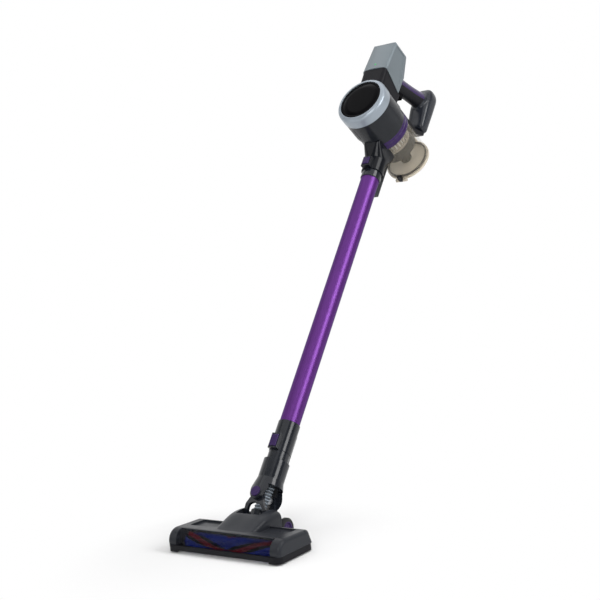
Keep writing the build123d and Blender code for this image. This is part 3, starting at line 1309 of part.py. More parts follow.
def inlet_duct():
    """Duct from the wand to the bin: round sleeve, flared block and contact rail."""
    mouth = DUCT_MOUTH_Y
    sleeve = rod_y(DUCT_SLEEVE_R, mouth, DUCT_SHOULDER_Y + CUT_PAST, 0, 0)
    round_end = RectangleRounded(2 * DUCT_SLEEVE_R, 2 * DUCT_SLEEVE_R, DUCT_SLEEVE_R - SEAT_GAP)
    flat_end = RectangleRounded(2 * DUCT_HALF, HOUSING_STEP_Z + DUCT_DROP, DUCT_ROUND)
    flare_from = Plane.XZ.offset(-DUCT_SHOULDER_Y) * round_end
    flare_to = Plane.XZ.offset(BIN_R + DUCT_LAND) * Pos(0, (HOUSING_STEP_Z - DUCT_DROP) / 2) * flat_end
    duct = sleeve + loft([flare_from, flare_to])
    duct += extrude(flare_to, amount=-BIN_R / 2)
    duct -= core_envelope(SEAT_GAP)
    bar = block(
        (-RAIL_HALF, mouth, -RAIL_D), (RAIL_HALF, mouth + DUCT_RAIL_LENGTH, -DUCT_SLEEVE_R + RAIL_ROUND)
    )
    duct += fillet(bar.faces().sort_by(Axis.Z)[0].edges(), RAIL_ROUND)
    frame_end = mouth + BUTTON_EDGE_GAP + WAND_BUTTON_LENGTH + BUTTON_FRAME
    frame = block(
        (-BUTTON_HALF - BUTTON_FRAME, mouth, DUCT_SLEEVE_R / 2),
        (BUTTON_HALF + BUTTON_FRAME, frame_end, DUCT_SLEEVE_R + WAND_BUTTON_RISE - BUTTON_TRAVEL),
    )
    duct += fillet(frame.edges().filter_by(Axis.Y), BUTTON_ROUND)
    duct -= rod_y(PLUG_R + RUN_GAP, mouth, mouth + PLUG_LENGTH, 0, 0)
    duct -= rod_y(DUCT_BORE_R, mouth, 0, 0, 0)
    return duct - HAND_FROM_WAND * button_well(WAND_BUTTON_FROM_S, WAND_BUTTON_TO_S, DUCT_SLEEVE_R)


def body_bridge():
    """Dark bridge between the round housing and the battery, cut to hug the housing."""
    top_y, top_z = BATTERY_FRONT_TOP
    tip_y, tip_z = BATTERY_TIP
    lower = tip_z - DOCK_THICK
    shoulder_z = top_z - BRIDGE_DROP
    shoulder_y = tip_y + (top_y - tip_y) * (shoulder_z - tip_z) / (top_z - tip_z)
    points = [
        (0, shoulder_z - BRIDGE_SLOPE), (shoulder_y - SEAT_GAP, shoulder_z), (tip_y - SEAT_GAP, tip_z),
        (tip_y - SEAT_GAP, lower), (0, lower),
    ]
    bridge = slab_x(points, BRIDGE_HALF)
    upper = bridge.edges().filter_by(Plane.YZ).filter_by(lambda e: e.center().Z > shoulder_z - BRIDGE_SLOPE)
    bridge = fillet(upper, BRIDGE_ROUND)
    return bridge - core_envelope(RUN_GAP)


def grip_y(z):
    """Place of the grip's middle line along Y at a height."""
    return GRIP_TOP_Y + GRIP_RAKE * (GRIP_TOP_Z - z)


def battery_dock():
    """Dark rail under the battery that carries the grip."""
    tip_y, tip_z = BATTERY_TIP
    belly_y, belly_z = BATTERY_BELLY
    rear_y = belly_y + DOCK_TAIL
    rise = (BATTERY_REAR_FOOT[1] - belly_z) / (BATTERY_REAR_Y - belly_y)
    rear_z = belly_z + rise * DOCK_TAIL
    points = [
        (tip_y, tip_z - SEAT_GAP), (belly_y, belly_z - SEAT_GAP), (rear_y, rear_z - SEAT_GAP),
        (rear_y - DOCK_TAIL_RAKE, GRIP_TOP_Z), (tip_y, tip_z - DOCK_THICK),
    ]
    return slab_x(points, DOCK_HALF)


def rear_spine():
    """Thin spine behind the bin that closes the finger loop."""
    tip_y, tip_z = BATTERY_TIP
    top = tip_z - DOCK_THICK - SEAT_GAP
    foot_y = FOOT_FROM_Y - SEAT_GAP
    land = FOOT_BOTTOM + SPINE_LAND
    points = [
        (SPINE_FRONT, top), (tip_y - SPINE_TOP_GAP, top), (SPINE_BACK, top - SPINE_THICK),
        (SPINE_BACK, SPINE_KNEE), (foot_y, land + SPINE_LAND), (foot_y, land),
        (foot_y - SPINE_THICK / 2, land),
        (SPINE_FRONT + SPINE_THICK / 2, SPINE_KNEE - SPINE_THICK), (SPINE_FRONT, SPINE_KNEE),
    ]
    return slab_x(points, SPINE_HALF) - core_envelope(SEAT_GAP)


def grip_section(z, swell):
    """Oval section of the grip at a height."""
    return Pos(0, grip_y(z), z) * Ellipse(GRIP_HALF * swell, GRIP_DEPTH * swell)


def grip_loft():
    """Whole grip between the dock and the foot, a little slimmer in the middle."""
    third = (GRIP_TOP_Z - GRIP_BOTTOM_Z) / 3
    heights = (GRIP_TOP_Z - SEAT_GAP, GRIP_TOP_Z - third, GRIP_BOTTOM_Z + third, GRIP_BOTTOM_Z + SEAT_GAP)
    swells = (GRIP_SWELL, GRIP_WAIST, GRIP_WAIST, GRIP_SWELL)
    return loft([grip_section(z, swell) for z, swell in zip(heights, swells)])


def grip_split_plane():
    """Plane along the grip that parts its front from its back."""
    return Plane(
        origin=(0, grip_y(0) + GRIP_SPLIT, 0), x_dir=(1, 0, 0), z_dir=(0, 1, GRIP_RAKE)
    )


def trigger_span():
    """Low and high end of the trigger and the place of its back face."""
    back = grip_y(TRIGGER_Z) - GRIP_DEPTH + TRIGGER_SINK
    return TRIGGER_Z - TRIGGER_HEIGHT / 2, TRIGGER_Z + TRIGGER_HEIGHT / 2, back


def trigger_pocket():
    """Room for the trigger in the front of the grip."""
    low, high, back = trigger_span()
    side = TRIGGER_HALF + RUN_GAP
    return block(
        (-side, back - 2 * GRIP_DEPTH, low - RUN_GAP),
        (side, back + TRIGGER_TRAVEL + SEAT_GAP, high + RUN_GAP),
    )


def trigger():
    """Curved trigger in the front of the grip."""
    low, high, back = trigger_span()
    proud = back - TRIGGER_SINK - TRIGGER_PROUD
    face = make_face([
        Polyline((proud, low), (back, low), (back, high), (proud, high)),
        ThreePointArc((proud, high), (proud + TRIGGER_SCOOP, TRIGGER_Z), (proud, low)),
    ])
    return extrude(Plane.YZ * face, amount=TRIGGER_HALF, both=True)


def grip_front():
    """Dark front of the grip."""
    front = split(grip_loft(), bisect_by=grip_split_plane(), keep=Keep.BOTTOM)
    return front - trigger_pocket()


def grip_back():
    """Purple back of the grip."""
    return split(grip_loft(), bisect_by=grip_split_plane(), keep=Keep.TOP)


def foot_form(inset):
    """Domed block of the foot, drawn in by an inset: plan, section and rear dome in one."""
    half, front, rear = FOOT_HALF, FOOT_FROM_Y, FOOT_TO_Y
    low, high = FOOT_BOTTOM, FOOT_TOP
    plan = rounded(
        [(-half, front), (half, front), (half, rear), (-half, rear)],
        [FOOT_FRONT_ROUND] * 2 + [FOOT_REAR_ROUND] * 2,
    )
    section = rounded(
        [(-half, low), (half, low), (half, high), (-half, high)],
        [FOOT_EDGE] * 2 + [FOOT_SHOULDER] * 2,
    )
    dome_y, dome_z = rear + FOOT_DOME_RISE, high + FOOT_DOME_RISE
    dome = rounded(
        [(0, 2 * low), (dome_y, 2 * low), (dome_y, dome_z), (0, dome_z)],
        [0, 0, FOOT_DOME, 0],
    )
    forms = [
        extrude(plane * shrunk(face, inset), amount=2 * FOOT_LENGTH, both=True)
        for plane, face in ((Plane.XY, plan), (Plane.XZ, section), (Plane.YZ, dome))
    ]
    return forms[0] & forms[1] & forms[2]


def grip_foot():
    """Domed hollow foot, open at the top to the grip that stands on it."""
    root = FOOT_TOP - FOOT_NECK
    neck = loft([
        grip_section(root, FOOT_SWELL), grip_section(FOOT_TOP, (FOOT_SWELL + GRIP_SWELL) / 2),
        grip_section(GRIP_BOTTOM_Z, GRIP_SWELL),
    ])
    way = extrude(grip_section(root, FOOT_BORE), amount=GRIP_BOTTOM_Z - root)
    return foot_form(0) + neck - foot_form(FOOT_WALL) - way


def battery_slope():
    """Fall of the battery's top per length."""
    return BATTERY_TOP_FALL / (BATTERY_REAR_Y - BATTERY_FRONT_TOP[0])


def battery_side(inset):
    """Side outline of the battery, drawn in by an inset, with round rear corners."""
    points = [BATTERY_FRONT_TOP, BATTERY_REAR_TOP, BATTERY_REAR_FOOT, BATTERY_BELLY, BATTERY_TIP]
    return shrunk(rounded(points, [0, BATTERY_ROUND, BATTERY_ROUND, 0, 0]), inset)


def battery_crown(inset):
    """Section across the battery, drawn in by an inset: crowned top and round shoulders."""
    half, sag, low = BATTERY_HALF, BATTERY_CROWN, -BATTERY_TALL
    corners = [(half, -sag), (-half, -sag)]
    face = make_face([
        ThreePointArc(corners[1], (0, 0), corners[0]),
        Polyline(corners[0], (half, low), (-half, low), corners[1]),
    ])
    for corner in corners:
        face = fillet(face.vertices().sort_by_distance(corner)[0], BATTERY_SHOULDER)
    top_y, top_z = BATTERY_FRONT_TOP
    plane = Plane(origin=(0, top_y, top_z), x_dir=(1, 0, 0), z_dir=(0, -1, battery_slope()))
    return plane * shrunk(face, inset)


def battery_form(inset, half):
    """Body of the battery, drawn in by an inset and cut to a half width with round rear corners."""
    front, rear = -BATTERY_REAR_Y, BATTERY_REAR_Y - inset
    plan = rounded(
        [(-half, front), (half, front), (half, rear), (-half, rear)],
        [0, 0, BATTERY_ROUND - inset, BATTERY_ROUND - inset],
    )
    body = extrude(Plane.YZ * battery_side(inset), amount=BATTERY_HALF, both=True)
    body &= extrude(battery_crown(inset), amount=BATTERY_REAR_Y, both=True)
    return body & extrude(plan, amount=CAP_TOP, both=True)


def battery_shell():
    """Silver battery housing with a crowned top, side panels, the LED hole and the charging jack."""
    solid = battery_form(0, BATTERY_HALF) - battery_form(BATTERY_WALL, CELLS_HALF)
    panel = Plane.YZ.offset(BATTERY_HALF - PANEL_SINK) * battery_side(PANEL_EDGE)
    solid -= both_sides(extrude(panel, amount=CUT_PAST))
    deep = BATTERY_REAR_Y - JACK_DEPTH
    solid += rod_y(JACK_R + JACK_WALL, deep - JACK_FLOOR, BATTERY_REAR_Y - BATTERY_WALL / 2, 0, JACK_Z)
    solid -= rod_y(JACK_R, deep, BATTERY_REAR_Y, 0, JACK_Z)
    return solid - Pos(0, LED_Y, 0) * rod(LED_R + SEAT_GAP, CELL_Z, CAP_TOP)


def status_led():
    """Small lens of the charge light in the battery's sloping top."""
    top = BATTERY_FRONT_TOP[1] - battery_slope() * LED_BACK
    lens = rod(LED_R, top - BATTERY_WALL - LED_PROUD, top + LED_PROUD)
    lens = fillet(lens.edges().sort_by(Axis.Z)[-1], LED_PROUD / 2)
    return Pos(0, LED_Y, 0) * lens


def battery_cells():
    """Cells lying along the battery in rows and columns."""
    cells = []
    for row in range(CELL_ROWS):
        for column in range(CELL_COLUMNS):
            x = CELL_PITCH * (column - (CELL_COLUMNS - 1) / 2)
            cells.append(rod_y(CELL_R, CELL_Y, CELL_Y + CELL_LENGTH, x, CELL_Z + CELL_PITCH * row))
    return Compound(cells)


def battery_board():
    """Charge board lying on the cells."""
    low = CELL_Z + CELL_PITCH * (CELL_ROWS - 1) + CELL_R + SEAT_GAP
    side = CELL_PITCH * CELL_COLUMNS / 2 - BOARD_EDGE
    front = CELL_Y + BOARD_EDGE
    back = CELL_Y + CELL_LENGTH - BOARD_EDGE
    return block((-side, front, low), (side, back, low + BOARD_THICK))


def wand_release_button():
    """Button on the duct sleeve that frees the wand."""
    button = push_button(WAND_BUTTON_FROM_S, WAND_BUTTON_TO_S, DUCT_SLEEVE_R, WAND_BUTTON_RISE)
    return HAND_FROM_WAND * button


HEAD_PIECES = {
    "head_base": head_base,
    "head_cover": head_cover,
    "brush_window": brush_window,
    "felt_strip": felt_strip,
    "brush_bushes": brush_bushes,
    "brush_motor": brush_motor,
    "drive_belt": drive_belt,
    "motor_pinion": motor_pinion,
    "brush_core": brush_core,
    "brush_pulley": brush_pulley,
    "sole_screws": sole_screws,
    "wheel_axles": wheel_axles,
}

WAND_PIECES = {
    "neck_yoke": neck_yoke,
    "roll_pins": roll_pins,
    "neck_hose": neck_hose,
    "neck_fork": neck_fork,
    "pivot_caps": pivot_caps,
    "neck_spigot": neck_spigot,
    "wand_tube": wand_tube,
    "lower_collar": lower_collar,
    "upper_collar": upper_collar,
    "head_release_button": head_release_button,
}

HAND_PIECES = {
    "inlet_duct": inlet_duct,
    "wand_release_button": wand_release_button,
    "motor_housing": motor_housing,
    "filter_cap_ring": filter_cap_ring,
    "filter_cap_disc": filter_cap_disc,
    "exhaust_filter": exhaust_filter,
    "fan_motor": fan_motor,
    "fan_impeller": fan_impeller,
    "bin_ring": bin_ring,
    "dust_bin": dust_bin,
    "bin_hinge_lug": hinge_lug,
    "bin_lid": bin_lid,
    "lid_pin": lid_pin,
    "lid_seal": lid_seal,
    "lid_latch": lid_latch,
    "cyclone_shroud": shroud,
    "pre_filter": pre_filter,
    "cyclone_skirt": cyclone_skirt,
    "body_bridge": body_bridge,
    "battery_dock": battery_dock,
    "rear_spine": rear_spine,
    "trigger": trigger,
    "grip_front": grip_front,
    "grip_back": grip_back,
    "grip_foot": grip_foot,
    "battery_shell": battery_shell,
    "battery_cells": battery_cells,
    "battery_board": battery_board,
    "status_led": status_led,
}


def save(name, shape):
    """Writes one piece."""
    solids = shape.solids()
    shape = solids[0] if len(solids) == 1 else Compound(solids)
    shape.label = name
    export_step(shape, f"parts/{name}.step")


def main():
    """Builds every piece in its own frame, places it and writes it."""
    os.makedirs("parts", exist_ok=True)
    for frame, pieces in ((Pos(0, 0, 0), HEAD_PIECES), (WAND, WAND_PIECES), (HAND, HAND_PIECES)):
        for name, make in pieces.items():
            save(name, frame * make())
    save("bristles_blue", bristles(0, 180))
    save("bristles_red", bristles(90, 270))
    for name, make in (("wheel_tyre", wheel_tyre), ("wheel_hub", wheel_hub)):
        save(f"{name}_right", make())
        save(f"{name}_left", mirror(make(), about=Plane.YZ))


main()
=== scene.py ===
import math
import random

import bpy
from mathutils import Matrix, Vector


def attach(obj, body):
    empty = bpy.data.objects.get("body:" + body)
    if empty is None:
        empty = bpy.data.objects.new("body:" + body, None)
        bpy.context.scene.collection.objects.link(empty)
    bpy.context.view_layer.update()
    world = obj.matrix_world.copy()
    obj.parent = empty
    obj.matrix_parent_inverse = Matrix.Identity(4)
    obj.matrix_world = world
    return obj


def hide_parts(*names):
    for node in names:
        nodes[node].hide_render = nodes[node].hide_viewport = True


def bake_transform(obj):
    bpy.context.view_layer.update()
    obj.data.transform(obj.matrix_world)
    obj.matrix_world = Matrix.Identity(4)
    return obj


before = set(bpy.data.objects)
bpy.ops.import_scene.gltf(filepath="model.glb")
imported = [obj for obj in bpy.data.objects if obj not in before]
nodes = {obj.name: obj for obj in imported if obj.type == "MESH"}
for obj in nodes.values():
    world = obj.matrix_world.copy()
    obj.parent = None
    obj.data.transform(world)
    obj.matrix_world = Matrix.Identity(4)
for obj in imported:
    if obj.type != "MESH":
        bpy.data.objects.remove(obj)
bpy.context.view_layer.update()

MM = 0.001

# The wand and hand frames of the part, repeated from its source in millimetres and degrees
LEAN = 38.6
PITCH_Y = 56.3
PITCH_Z = 41.8
PITCH_S = -54.0
CYCLONE_S = 862.0
WAND = (
    Matrix.Translation((0, PITCH_Y, PITCH_Z))
    @ Matrix.Rotation(math.radians(-LEAN), 4, "X")
    @ Matrix.Translation((0, 0, -PITCH_S))
)
HAND = WAND @ Matrix.Translation((0, 0, CYCLONE_S)) @ Matrix.Rotation(math.radians(90), 4, "X")

# Camera of the photograph: place in metres, angles in degrees, focal length in pixels of its width
CAMERA_AT = (1.3403, -1.46606, 0.57765)
CAMERA_YAW = 37.92
CAMERA_PITCH = 3.92
CAMERA_ROLL = -6.22
CAMERA_SENSOR = 36.0
CAMERA_FAR = 100
FOCAL_PIXELS = 1109.51
PHOTO_PIXELS = 600
CAMERA_LENS = CAMERA_SENSOR * FOCAL_PIXELS / PHOTO_PIXELS


def place_camera():
    """Camera at the photograph's viewing angle."""
    yaw, pitch, roll = (math.radians(a) for a in (CAMERA_YAW, CAMERA_PITCH, CAMERA_ROLL))
    level = math.cos(pitch)
    forward = Vector((-math.sin(yaw) * level, math.cos(yaw) * level, -math.sin(pitch)))
    right = Vector((math.cos(yaw), math.sin(yaw), 0))
    up = right.cross(forward)
    turned_right = right * math.cos(roll) + up * math.sin(roll)
    turned_up = up * math.cos(roll) - right * math.sin(roll)
    data = bpy.data.cameras.new("camera")
    data.sensor_width = CAMERA_SENSOR
    data.lens = CAMERA_LENS
    data.clip_end = CAMERA_FAR
    camera = bpy.data.objects.new("camera", data)
    basis = Matrix((turned_right, turned_up, -forward)).transposed().to_4x4()
    camera.matrix_world = Matrix.Translation(CAMERA_AT) @ basis
    bpy.context.scene.collection.objects.link(camera)
    bpy.context.scene.camera = camera


# Small helpers


def clamp(value):
    return min(max(value, 0), 1)


def smooth(share):
    """Eases a share between 0 and 1 in and out."""
    return share * share * (3 - 2 * share)


def srgb(red, green, blue):
    """Linear colour of a written display colour."""
    def linear(v):
        v /= 255
        return v / 12.92 if v <= 0.04045 else ((v + 0.055) / 1.055) ** 2.4
    return tuple(linear(v) for v in (red, green, blue))


def new_node(tree, kind, **values):
    """A node with its input values and settings."""
    made = tree.nodes.new(kind)
    for key, value in values.items():
        if key in made.inputs:
            made.inputs[key].default_value = value
        else:
            setattr(made, key, value)
    return made


def feed(tree, value, socket):
    """Links an output to a socket, or sets the socket to a plain value."""
    if hasattr(value, "links"):
        tree.links.new(value, socket)
    else:
        socket.default_value = value


def map_range(tree, value, low=0, high=1, from_low=0, from_high=1, shape="LINEAR"):
    """A value carried from one range to another."""
    made = new_node(tree, "ShaderNodeMapRange", interpolation_type=shape)
    ends = {"From Min": from_low, "From Max": from_high, "To Min": low, "To Max": high}
    for socket, end in ends.items():
        feed(tree, end, made.inputs[socket])
    tree.links.new(value, made.inputs["Value"])
    return made.outputs["Result"]


# Materials

# Worn edges: bevel samples, the facing that counts as an edge, and how the wear is broken up
EDGE_SAMPLES = 4
EDGE_FACING = (0.8, 0.99)
EDGE_NOISE = 220
EDGE_WEAR = (0.1, 0.9)
ROUGH_LEAST = 0.02


class Finish:
    """A node material built up from one Principled shader."""

    def __init__(self, name, colour, rough, **sockets):
        self.material = bpy.data.materials.new(name)
        self.material.use_nodes = True
        self.tree = self.material.node_tree
        self.shader = self.tree.nodes["Principled BSDF"]
        self.colour = colour
        self.rough = rough
        self.set("Base Color", (*colour, 1))
        self.set("Roughness", rough)
        for key, value in sockets.items():
            self.set(key.replace("_", " ").title().replace("Ior", "IOR"), value)
        self.normal = None

    def set(self, socket, value):
        self.shader.inputs[socket].default_value = value

    def node(self, kind, **values):
        return new_node(self.tree, kind, **values)

    def link(self, source, target):
        self.tree.links.new(source, target)

    def place(self, scale=None, turn=0.0):
        """Coordinates on the piece itself, optionally turned about X and stretched."""
        spot = self.node("ShaderNodeTexCoord").outputs["Object"]
        if turn:
            turned = self.node("ShaderNodeMapping", Rotation=(math.radians(turn), 0, 0))
            self.link(spot, turned.inputs["Vector"])
            spot = turned.outputs["Vector"]
        if scale:
            stretched = self.node("ShaderNodeMapping", Scale=scale)
            self.link(spot, stretched.inputs["Vector"])
            spot = stretched.outputs["Vector"]
        return spot

    def noise(self, scale, detail=3.0, roughness=0.5, spot=None):
        made = self.node("ShaderNodeTexNoise", Scale=scale, Detail=detail, Roughness=roughness)
        self.link(spot or self.place(), made.inputs["Vector"])
        return made.outputs["Fac"]

    def span(self, value, low, high, from_low=0.25, from_high=0.75):
        return map_range(self.tree, value, low, high, from_low, from_high)

    def mix(self, share, first, second):
        made = self.node("ShaderNodeMix", data_type="RGBA")
        self.link(share, made.inputs["Factor"])
        for socket, value in ((made.inputs[6], first), (made.inputs[7], second)):
            feed(self.tree, value if hasattr(value, "links") else (*value, 1), socket)
        return made.outputs[2]

    def paint(self, output):
        self.link(output, self.shader.inputs["Base Color"])
        self.painted = output
        return self

    def roughen(self, value, low, high):
        self.link(self.span(value, low, high), self.shader.inputs["Roughness"])
        return self

    def mottle(self, amount, scale):
        """Slow colour variation, as in any moulding."""
        dark = tuple(c * (1 - amount) for c in self.colour)
        light = tuple(min(1, c * (1 + amount)) for c in self.colour)
        return self.paint(self.mix(self.span(self.noise(scale, 4.0), 0, 1), dark, light))

    def smudge(self, amount, scale):
        """Roughness that wanders, as on handled plastic."""
        least = max(ROUGH_LEAST, self.rough - amount)
        return self.roughen(self.noise(scale, 5.0, 0.6), least, self.rough + amount)

    def bump(self, height, depth):
        made = self.node("ShaderNodeBump", Strength=1.0, Distance=depth)
        self.link(height, made.inputs["Height"])
        if self.normal:
            self.link(self.normal, made.inputs["Normal"])
        self.normal = made.outputs["Normal"]
        self.link(self.normal, self.shader.inputs["Normal"])
        return self

    def grain(self, size, depth):
        """Fine moulded texture, size and depth in metres."""
        return self.bump(self.noise(1 / size, 2.0), depth)

    def worn_edges(self, radius, lighten):
        """Rounded, slightly paler edges."""
        bevel = self.node("ShaderNodeBevel", samples=EDGE_SAMPLES, Radius=radius)
        flat = self.node("ShaderNodeNewGeometry").outputs["Normal"]
        facing = self.node("ShaderNodeVectorMath", operation="DOT_PRODUCT")
        self.link(bevel.outputs["Normal"], facing.inputs[0])
        self.link(flat, facing.inputs[1])
        edge = self.span(facing.outputs["Value"], 1, 0, *EDGE_FACING)
        broken = self.node("ShaderNodeMath", operation="MULTIPLY")
        self.link(edge, broken.inputs[0])
        self.link(self.span(self.noise(EDGE_NOISE, 4.0), *EDGE_WEAR), broken.inputs[1])
        self.paint(self.mix(broken.outputs["Value"], self.painted, lighten))
        self.normal = bevel.outputs["Normal"]
        return self


# Moulded plastics: colour, roughness, grain and its depth, colour of worn edges, specular level
MOULDED = {
    "cover_grey": (srgb(40, 42, 47), 0.32, 0.0005, 0.000007, srgb(80, 84, 90), 0.19),
    "foot_grey": (srgb(36, 39, 46), 0.22, 0.0004, 0.000008, srgb(74, 78, 84), 0.4),
    "dark_plastic": (srgb(22, 22, 26), 0.4, 0.0004, 0.00003, srgb(54, 56, 62), 0.12),
    "slate_gloss": (srgb(25, 28, 34), 0.16, 0.0008, 0.000006, srgb(70, 76, 86), 0.42),
    "slate_dark": (srgb(16, 18, 23), 0.18, 0.0008, 0.000006, srgb(70, 76, 86), 0.2),
    "housing_grey": (srgb(32, 34, 38), 0.2, 0.0005, 0.00001, srgb(70, 74, 80), 0.22),
    "purple_plastic": (srgb(50, 32, 78), 0.26, 0.0005, 0.000008, srgb(96, 74, 134), 0.2),
    "cyclone_grey": (srgb(38, 40, 42), 0.4, 0.0005, 0.00002, srgb(80, 82, 84), 0.2),
}
MOULD_MOTTLE = (0.1, 25.0)
MOULD_SMUDGE = (0.07, 60.0)
EDGE_RADIUS = 0.0006

# Flaked paints: colour, roughness, metallic, mottle, share and colour of the flakes, colour of worn edges
FLAKED = {
    "silver": (srgb(140, 150, 159), 0.34, 0.5, 0.04, 0.35, srgb(172, 178, 188), srgb(186, 191, 199)),
    "battery_silver": (srgb(108, 117, 123), 0.36, 0.4, 0.05, 0.3, srgb(138, 148, 152), srgb(166, 175, 179)),
}
FLAKE_MOTTLE = 30
FLAKE_NOISE = 5200
FLAKE_SMUDGE = (0.05, 60.0)
FLAKE_GRAIN = (0.0003, 0.000006)

# Plain finishes: colour, roughness, mottle and smudge as amount and scale, grain as size and depth
PLAIN = {
    "black_gloss": (srgb(9, 9, 11), 0.14, (0.2, 25.0), (0.05, 60.0), (0.0006, 0.000006)),
    "smoky_clear": (srgb(168, 159, 142), 0.07, (0.05, 20), (0.03, 90), (0.004, 0.00001)),
    "lid_clear": (srgb(204, 194, 176), 0.22, (0.06, 40), (0.05, 90), (0.003, 0.00001)),
    "window_clear": (srgb(14, 16, 26), 0.05, (0.05, 20), (0.02, 120), (0.004, 0.000006)),
    "felt": (srgb(58, 58, 62), 0.95, (0.3, 900), (0.04, 300), (0.0006, 0.0003)),
    "bristle_blue": (srgb(14, 44, 158), 0.5, (0.35, 500), (0.12, 400), (0.0004, 0.00002)),
    "bristle_red": (srgb(138, 12, 38), 0.5, (0.35, 500), (0.12, 400), (0.0004, 0.00002)),
    "motor_alloy": (srgb(142, 145, 150), 0.4, (0.12, 120), (0.12, 200), (0.0005, 0.00003)),
    "cell_wrap": (srgb(58, 110, 168), 0.22, (0.12, 70), (0.08, 140), (0.002, 0.00004)),
    "filter_white": (srgb(224, 222, 214), 0.9, (0.08, 260), (0.05, 300), (0.0006, 0.00012)),
}
PLAIN_SOCKETS = {
    "black_gloss": {"specular_ior_level": 0.025},
    "smoky_clear": {"alpha": 0.11, "specular_ior_level": 0.5},
    "lid_clear": {"alpha": 0.88, "specular_ior_level": 0.3},
    "window_clear": {"alpha": 0.2, "specular_ior_level": 0.25},
    "felt": {"sheen_weight": 0.6, "sheen_roughness": 0.5},
    "bristle_blue": {"sheen_weight": 0.08, "specular_ior_level": 0.15},
    "bristle_red": {"sheen_weight": 0.08, "specular_ior_level": 0.15},
    "motor_alloy": {"metallic": 0.95},
    "cell_wrap": {"coat_weight": 0.3},
    "filter_white": {"sheen_weight": 0.4},
}

# Finishes of their own kind
TUBE_STREAKS = (420, 420, 3)
TUBE_ROUGH = (0.39, 0.45)
TUBE_STREAK_DEPTH = 0.000001
# Painted shade: colour the hose is darkened to in the hollows between its ribs, over this range of
# pointiness
HOSE_GROOVE_SHADE = srgb(26, 30, 36)
HOSE_SHADE_POINTINESS = (0.47, 0.53)
STEEL_STREAKS = (60, 2600, 2600)
STEEL_ROUGH = (0.18, 0.42)
STEEL_STREAK_DEPTH = 0.000006
BOARD_GREEN = srgb(22, 84, 48)
BOARD_TRACK = srgb(44, 122, 70)
BOARD_SCALE = 300
BOARD_DEPTH = 0.00004
LED_DARK = srgb(30, 120, 70)
LED_LIGHT = srgb(90, 190, 120)
LED_NOISE = 700
MESH_HOLE = srgb(84, 78, 70)
MESH_SCALE = 700
MESH_EDGE = (0.25, 0.4)
MESH_DEPTH = 0.0002


def make_tables():
    """Finishes that share a recipe: moulded, flaked and plain."""
    f = {}
    for name, (colour, rough, grain, depth, lighten, specular) in MOULDED.items():
        made = Finish(name, colour, rough, specular_ior_level=specular).mottle(*MOULD_MOTTLE)
        f[name] = made.worn_edges(EDGE_RADIUS, lighten).smudge(*MOULD_SMUDGE).grain(grain, depth)
    for name, (colour, rough, metallic, mottle, share, flake, lighten) in FLAKED.items():
        made = Finish(name, colour, rough, metallic=metallic).mottle(mottle, FLAKE_MOTTLE)
        flakes = made.span(made.noise(FLAKE_NOISE, 1.0), 0, share)
        made.paint(made.mix(flakes, made.painted, flake))
        f[name] = made.worn_edges(EDGE_RADIUS, lighten).smudge(*FLAKE_SMUDGE).grain(*FLAKE_GRAIN)
    for name, (colour, rough, mottle, smudge, grain) in PLAIN.items():
        made = Finish(name, colour, rough, **PLAIN_SOCKETS[name])
        f[name] = made.mottle(*mottle).smudge(*smudge).grain(*grain)
    return f


def make_finishes():
    f = make_tables()

    tube = Finish(
        "purple_metal", srgb(96, 46, 126), 0.42, metallic=0.9, specular_tint=(0.3, 0.2, 0.4, 1),
        coat_weight=0.3, coat_roughness=0.3)
    tube.mottle(0.08, 14)
    streaks = tube.noise(1.0, 3.0, 0.6, tube.place(TUBE_STREAKS, LEAN))
    f["purple_metal"] = tube.roughen(streaks, *TUBE_ROUGH).bump(streaks, TUBE_STREAK_DEPTH)

    rubber = Finish("rubber", srgb(22, 22, 24), 0.62, specular_ior_level=0.3, sheen_weight=0.1)
    rubber.mottle(0.2, 60).worn_edges(0.0005, srgb(58, 58, 60))
    f["rubber"] = rubber.smudge(0.1, 80).grain(0.0007, 0.00006)

    hose = Finish("hose_grey", srgb(146, 156, 166), 0.3, specular_ior_level=0.5).mottle(0.12, 120)
    # Painted shade: the hose colour is darkened where low pointiness marks a hollow groove between ribs
    shade_mask_pointiness = hose.node("ShaderNodeNewGeometry").outputs["Pointiness"]
    hose.paint(hose.mix(hose.span(shade_mask_pointiness, 0, 1, *HOSE_SHADE_POINTINESS), HOSE_GROOVE_SHADE, hose.painted))
    f["hose_grey"] = hose.smudge(0.08, 150).grain(0.0006, 0.00002)

    steel = Finish("steel", srgb(172, 174, 178), 0.28, metallic=1.0).mottle(0.08, 80)
    turned = steel.noise(1.0, 3.0, 0.6, steel.place(STEEL_STREAKS))
    f["steel"] = steel.roughen(turned, *STEEL_ROUGH).bump(turned, STEEL_STREAK_DEPTH)

    board = Finish("board_green", BOARD_GREEN, 0.3, coat_weight=0.4)
    tracks = board.node("ShaderNodeTexBrick", Scale=BOARD_SCALE, offset=0.4)
    board.link(board.place(), tracks.inputs["Vector"])
    board.paint(board.mix(tracks.outputs["Fac"], BOARD_GREEN, BOARD_TRACK))
    f["board_green"] = board.smudge(0.1, 200).bump(tracks.outputs["Fac"], BOARD_DEPTH)

    led = Finish("led_green", LED_LIGHT, 0.25, emission_strength=0.2)
    led.paint(led.mix(led.span(led.noise(LED_NOISE, 2.0), 0, 1), LED_DARK, LED_LIGHT))
    led.link(led.painted, led.shader.inputs["Emission Color"])
    f["led_green"] = led.smudge(0.05, 300)

    mesh = Finish("mesh_brown", srgb(148, 140, 126), 0.45, metallic=0.2).mottle(0.12, 90)
    holes = mesh.node("ShaderNodeTexVoronoi", Scale=MESH_SCALE)
    mesh.link(mesh.place(), holes.inputs["Vector"])
    dots = mesh.span(holes.outputs["Distance"], 0, 1, *MESH_EDGE)
    mesh.paint(mesh.mix(dots, MESH_HOLE, mesh.painted))
    f["mesh_brown"] = mesh.smudge(0.1, 200).bump(dots, MESH_DEPTH)
    return f


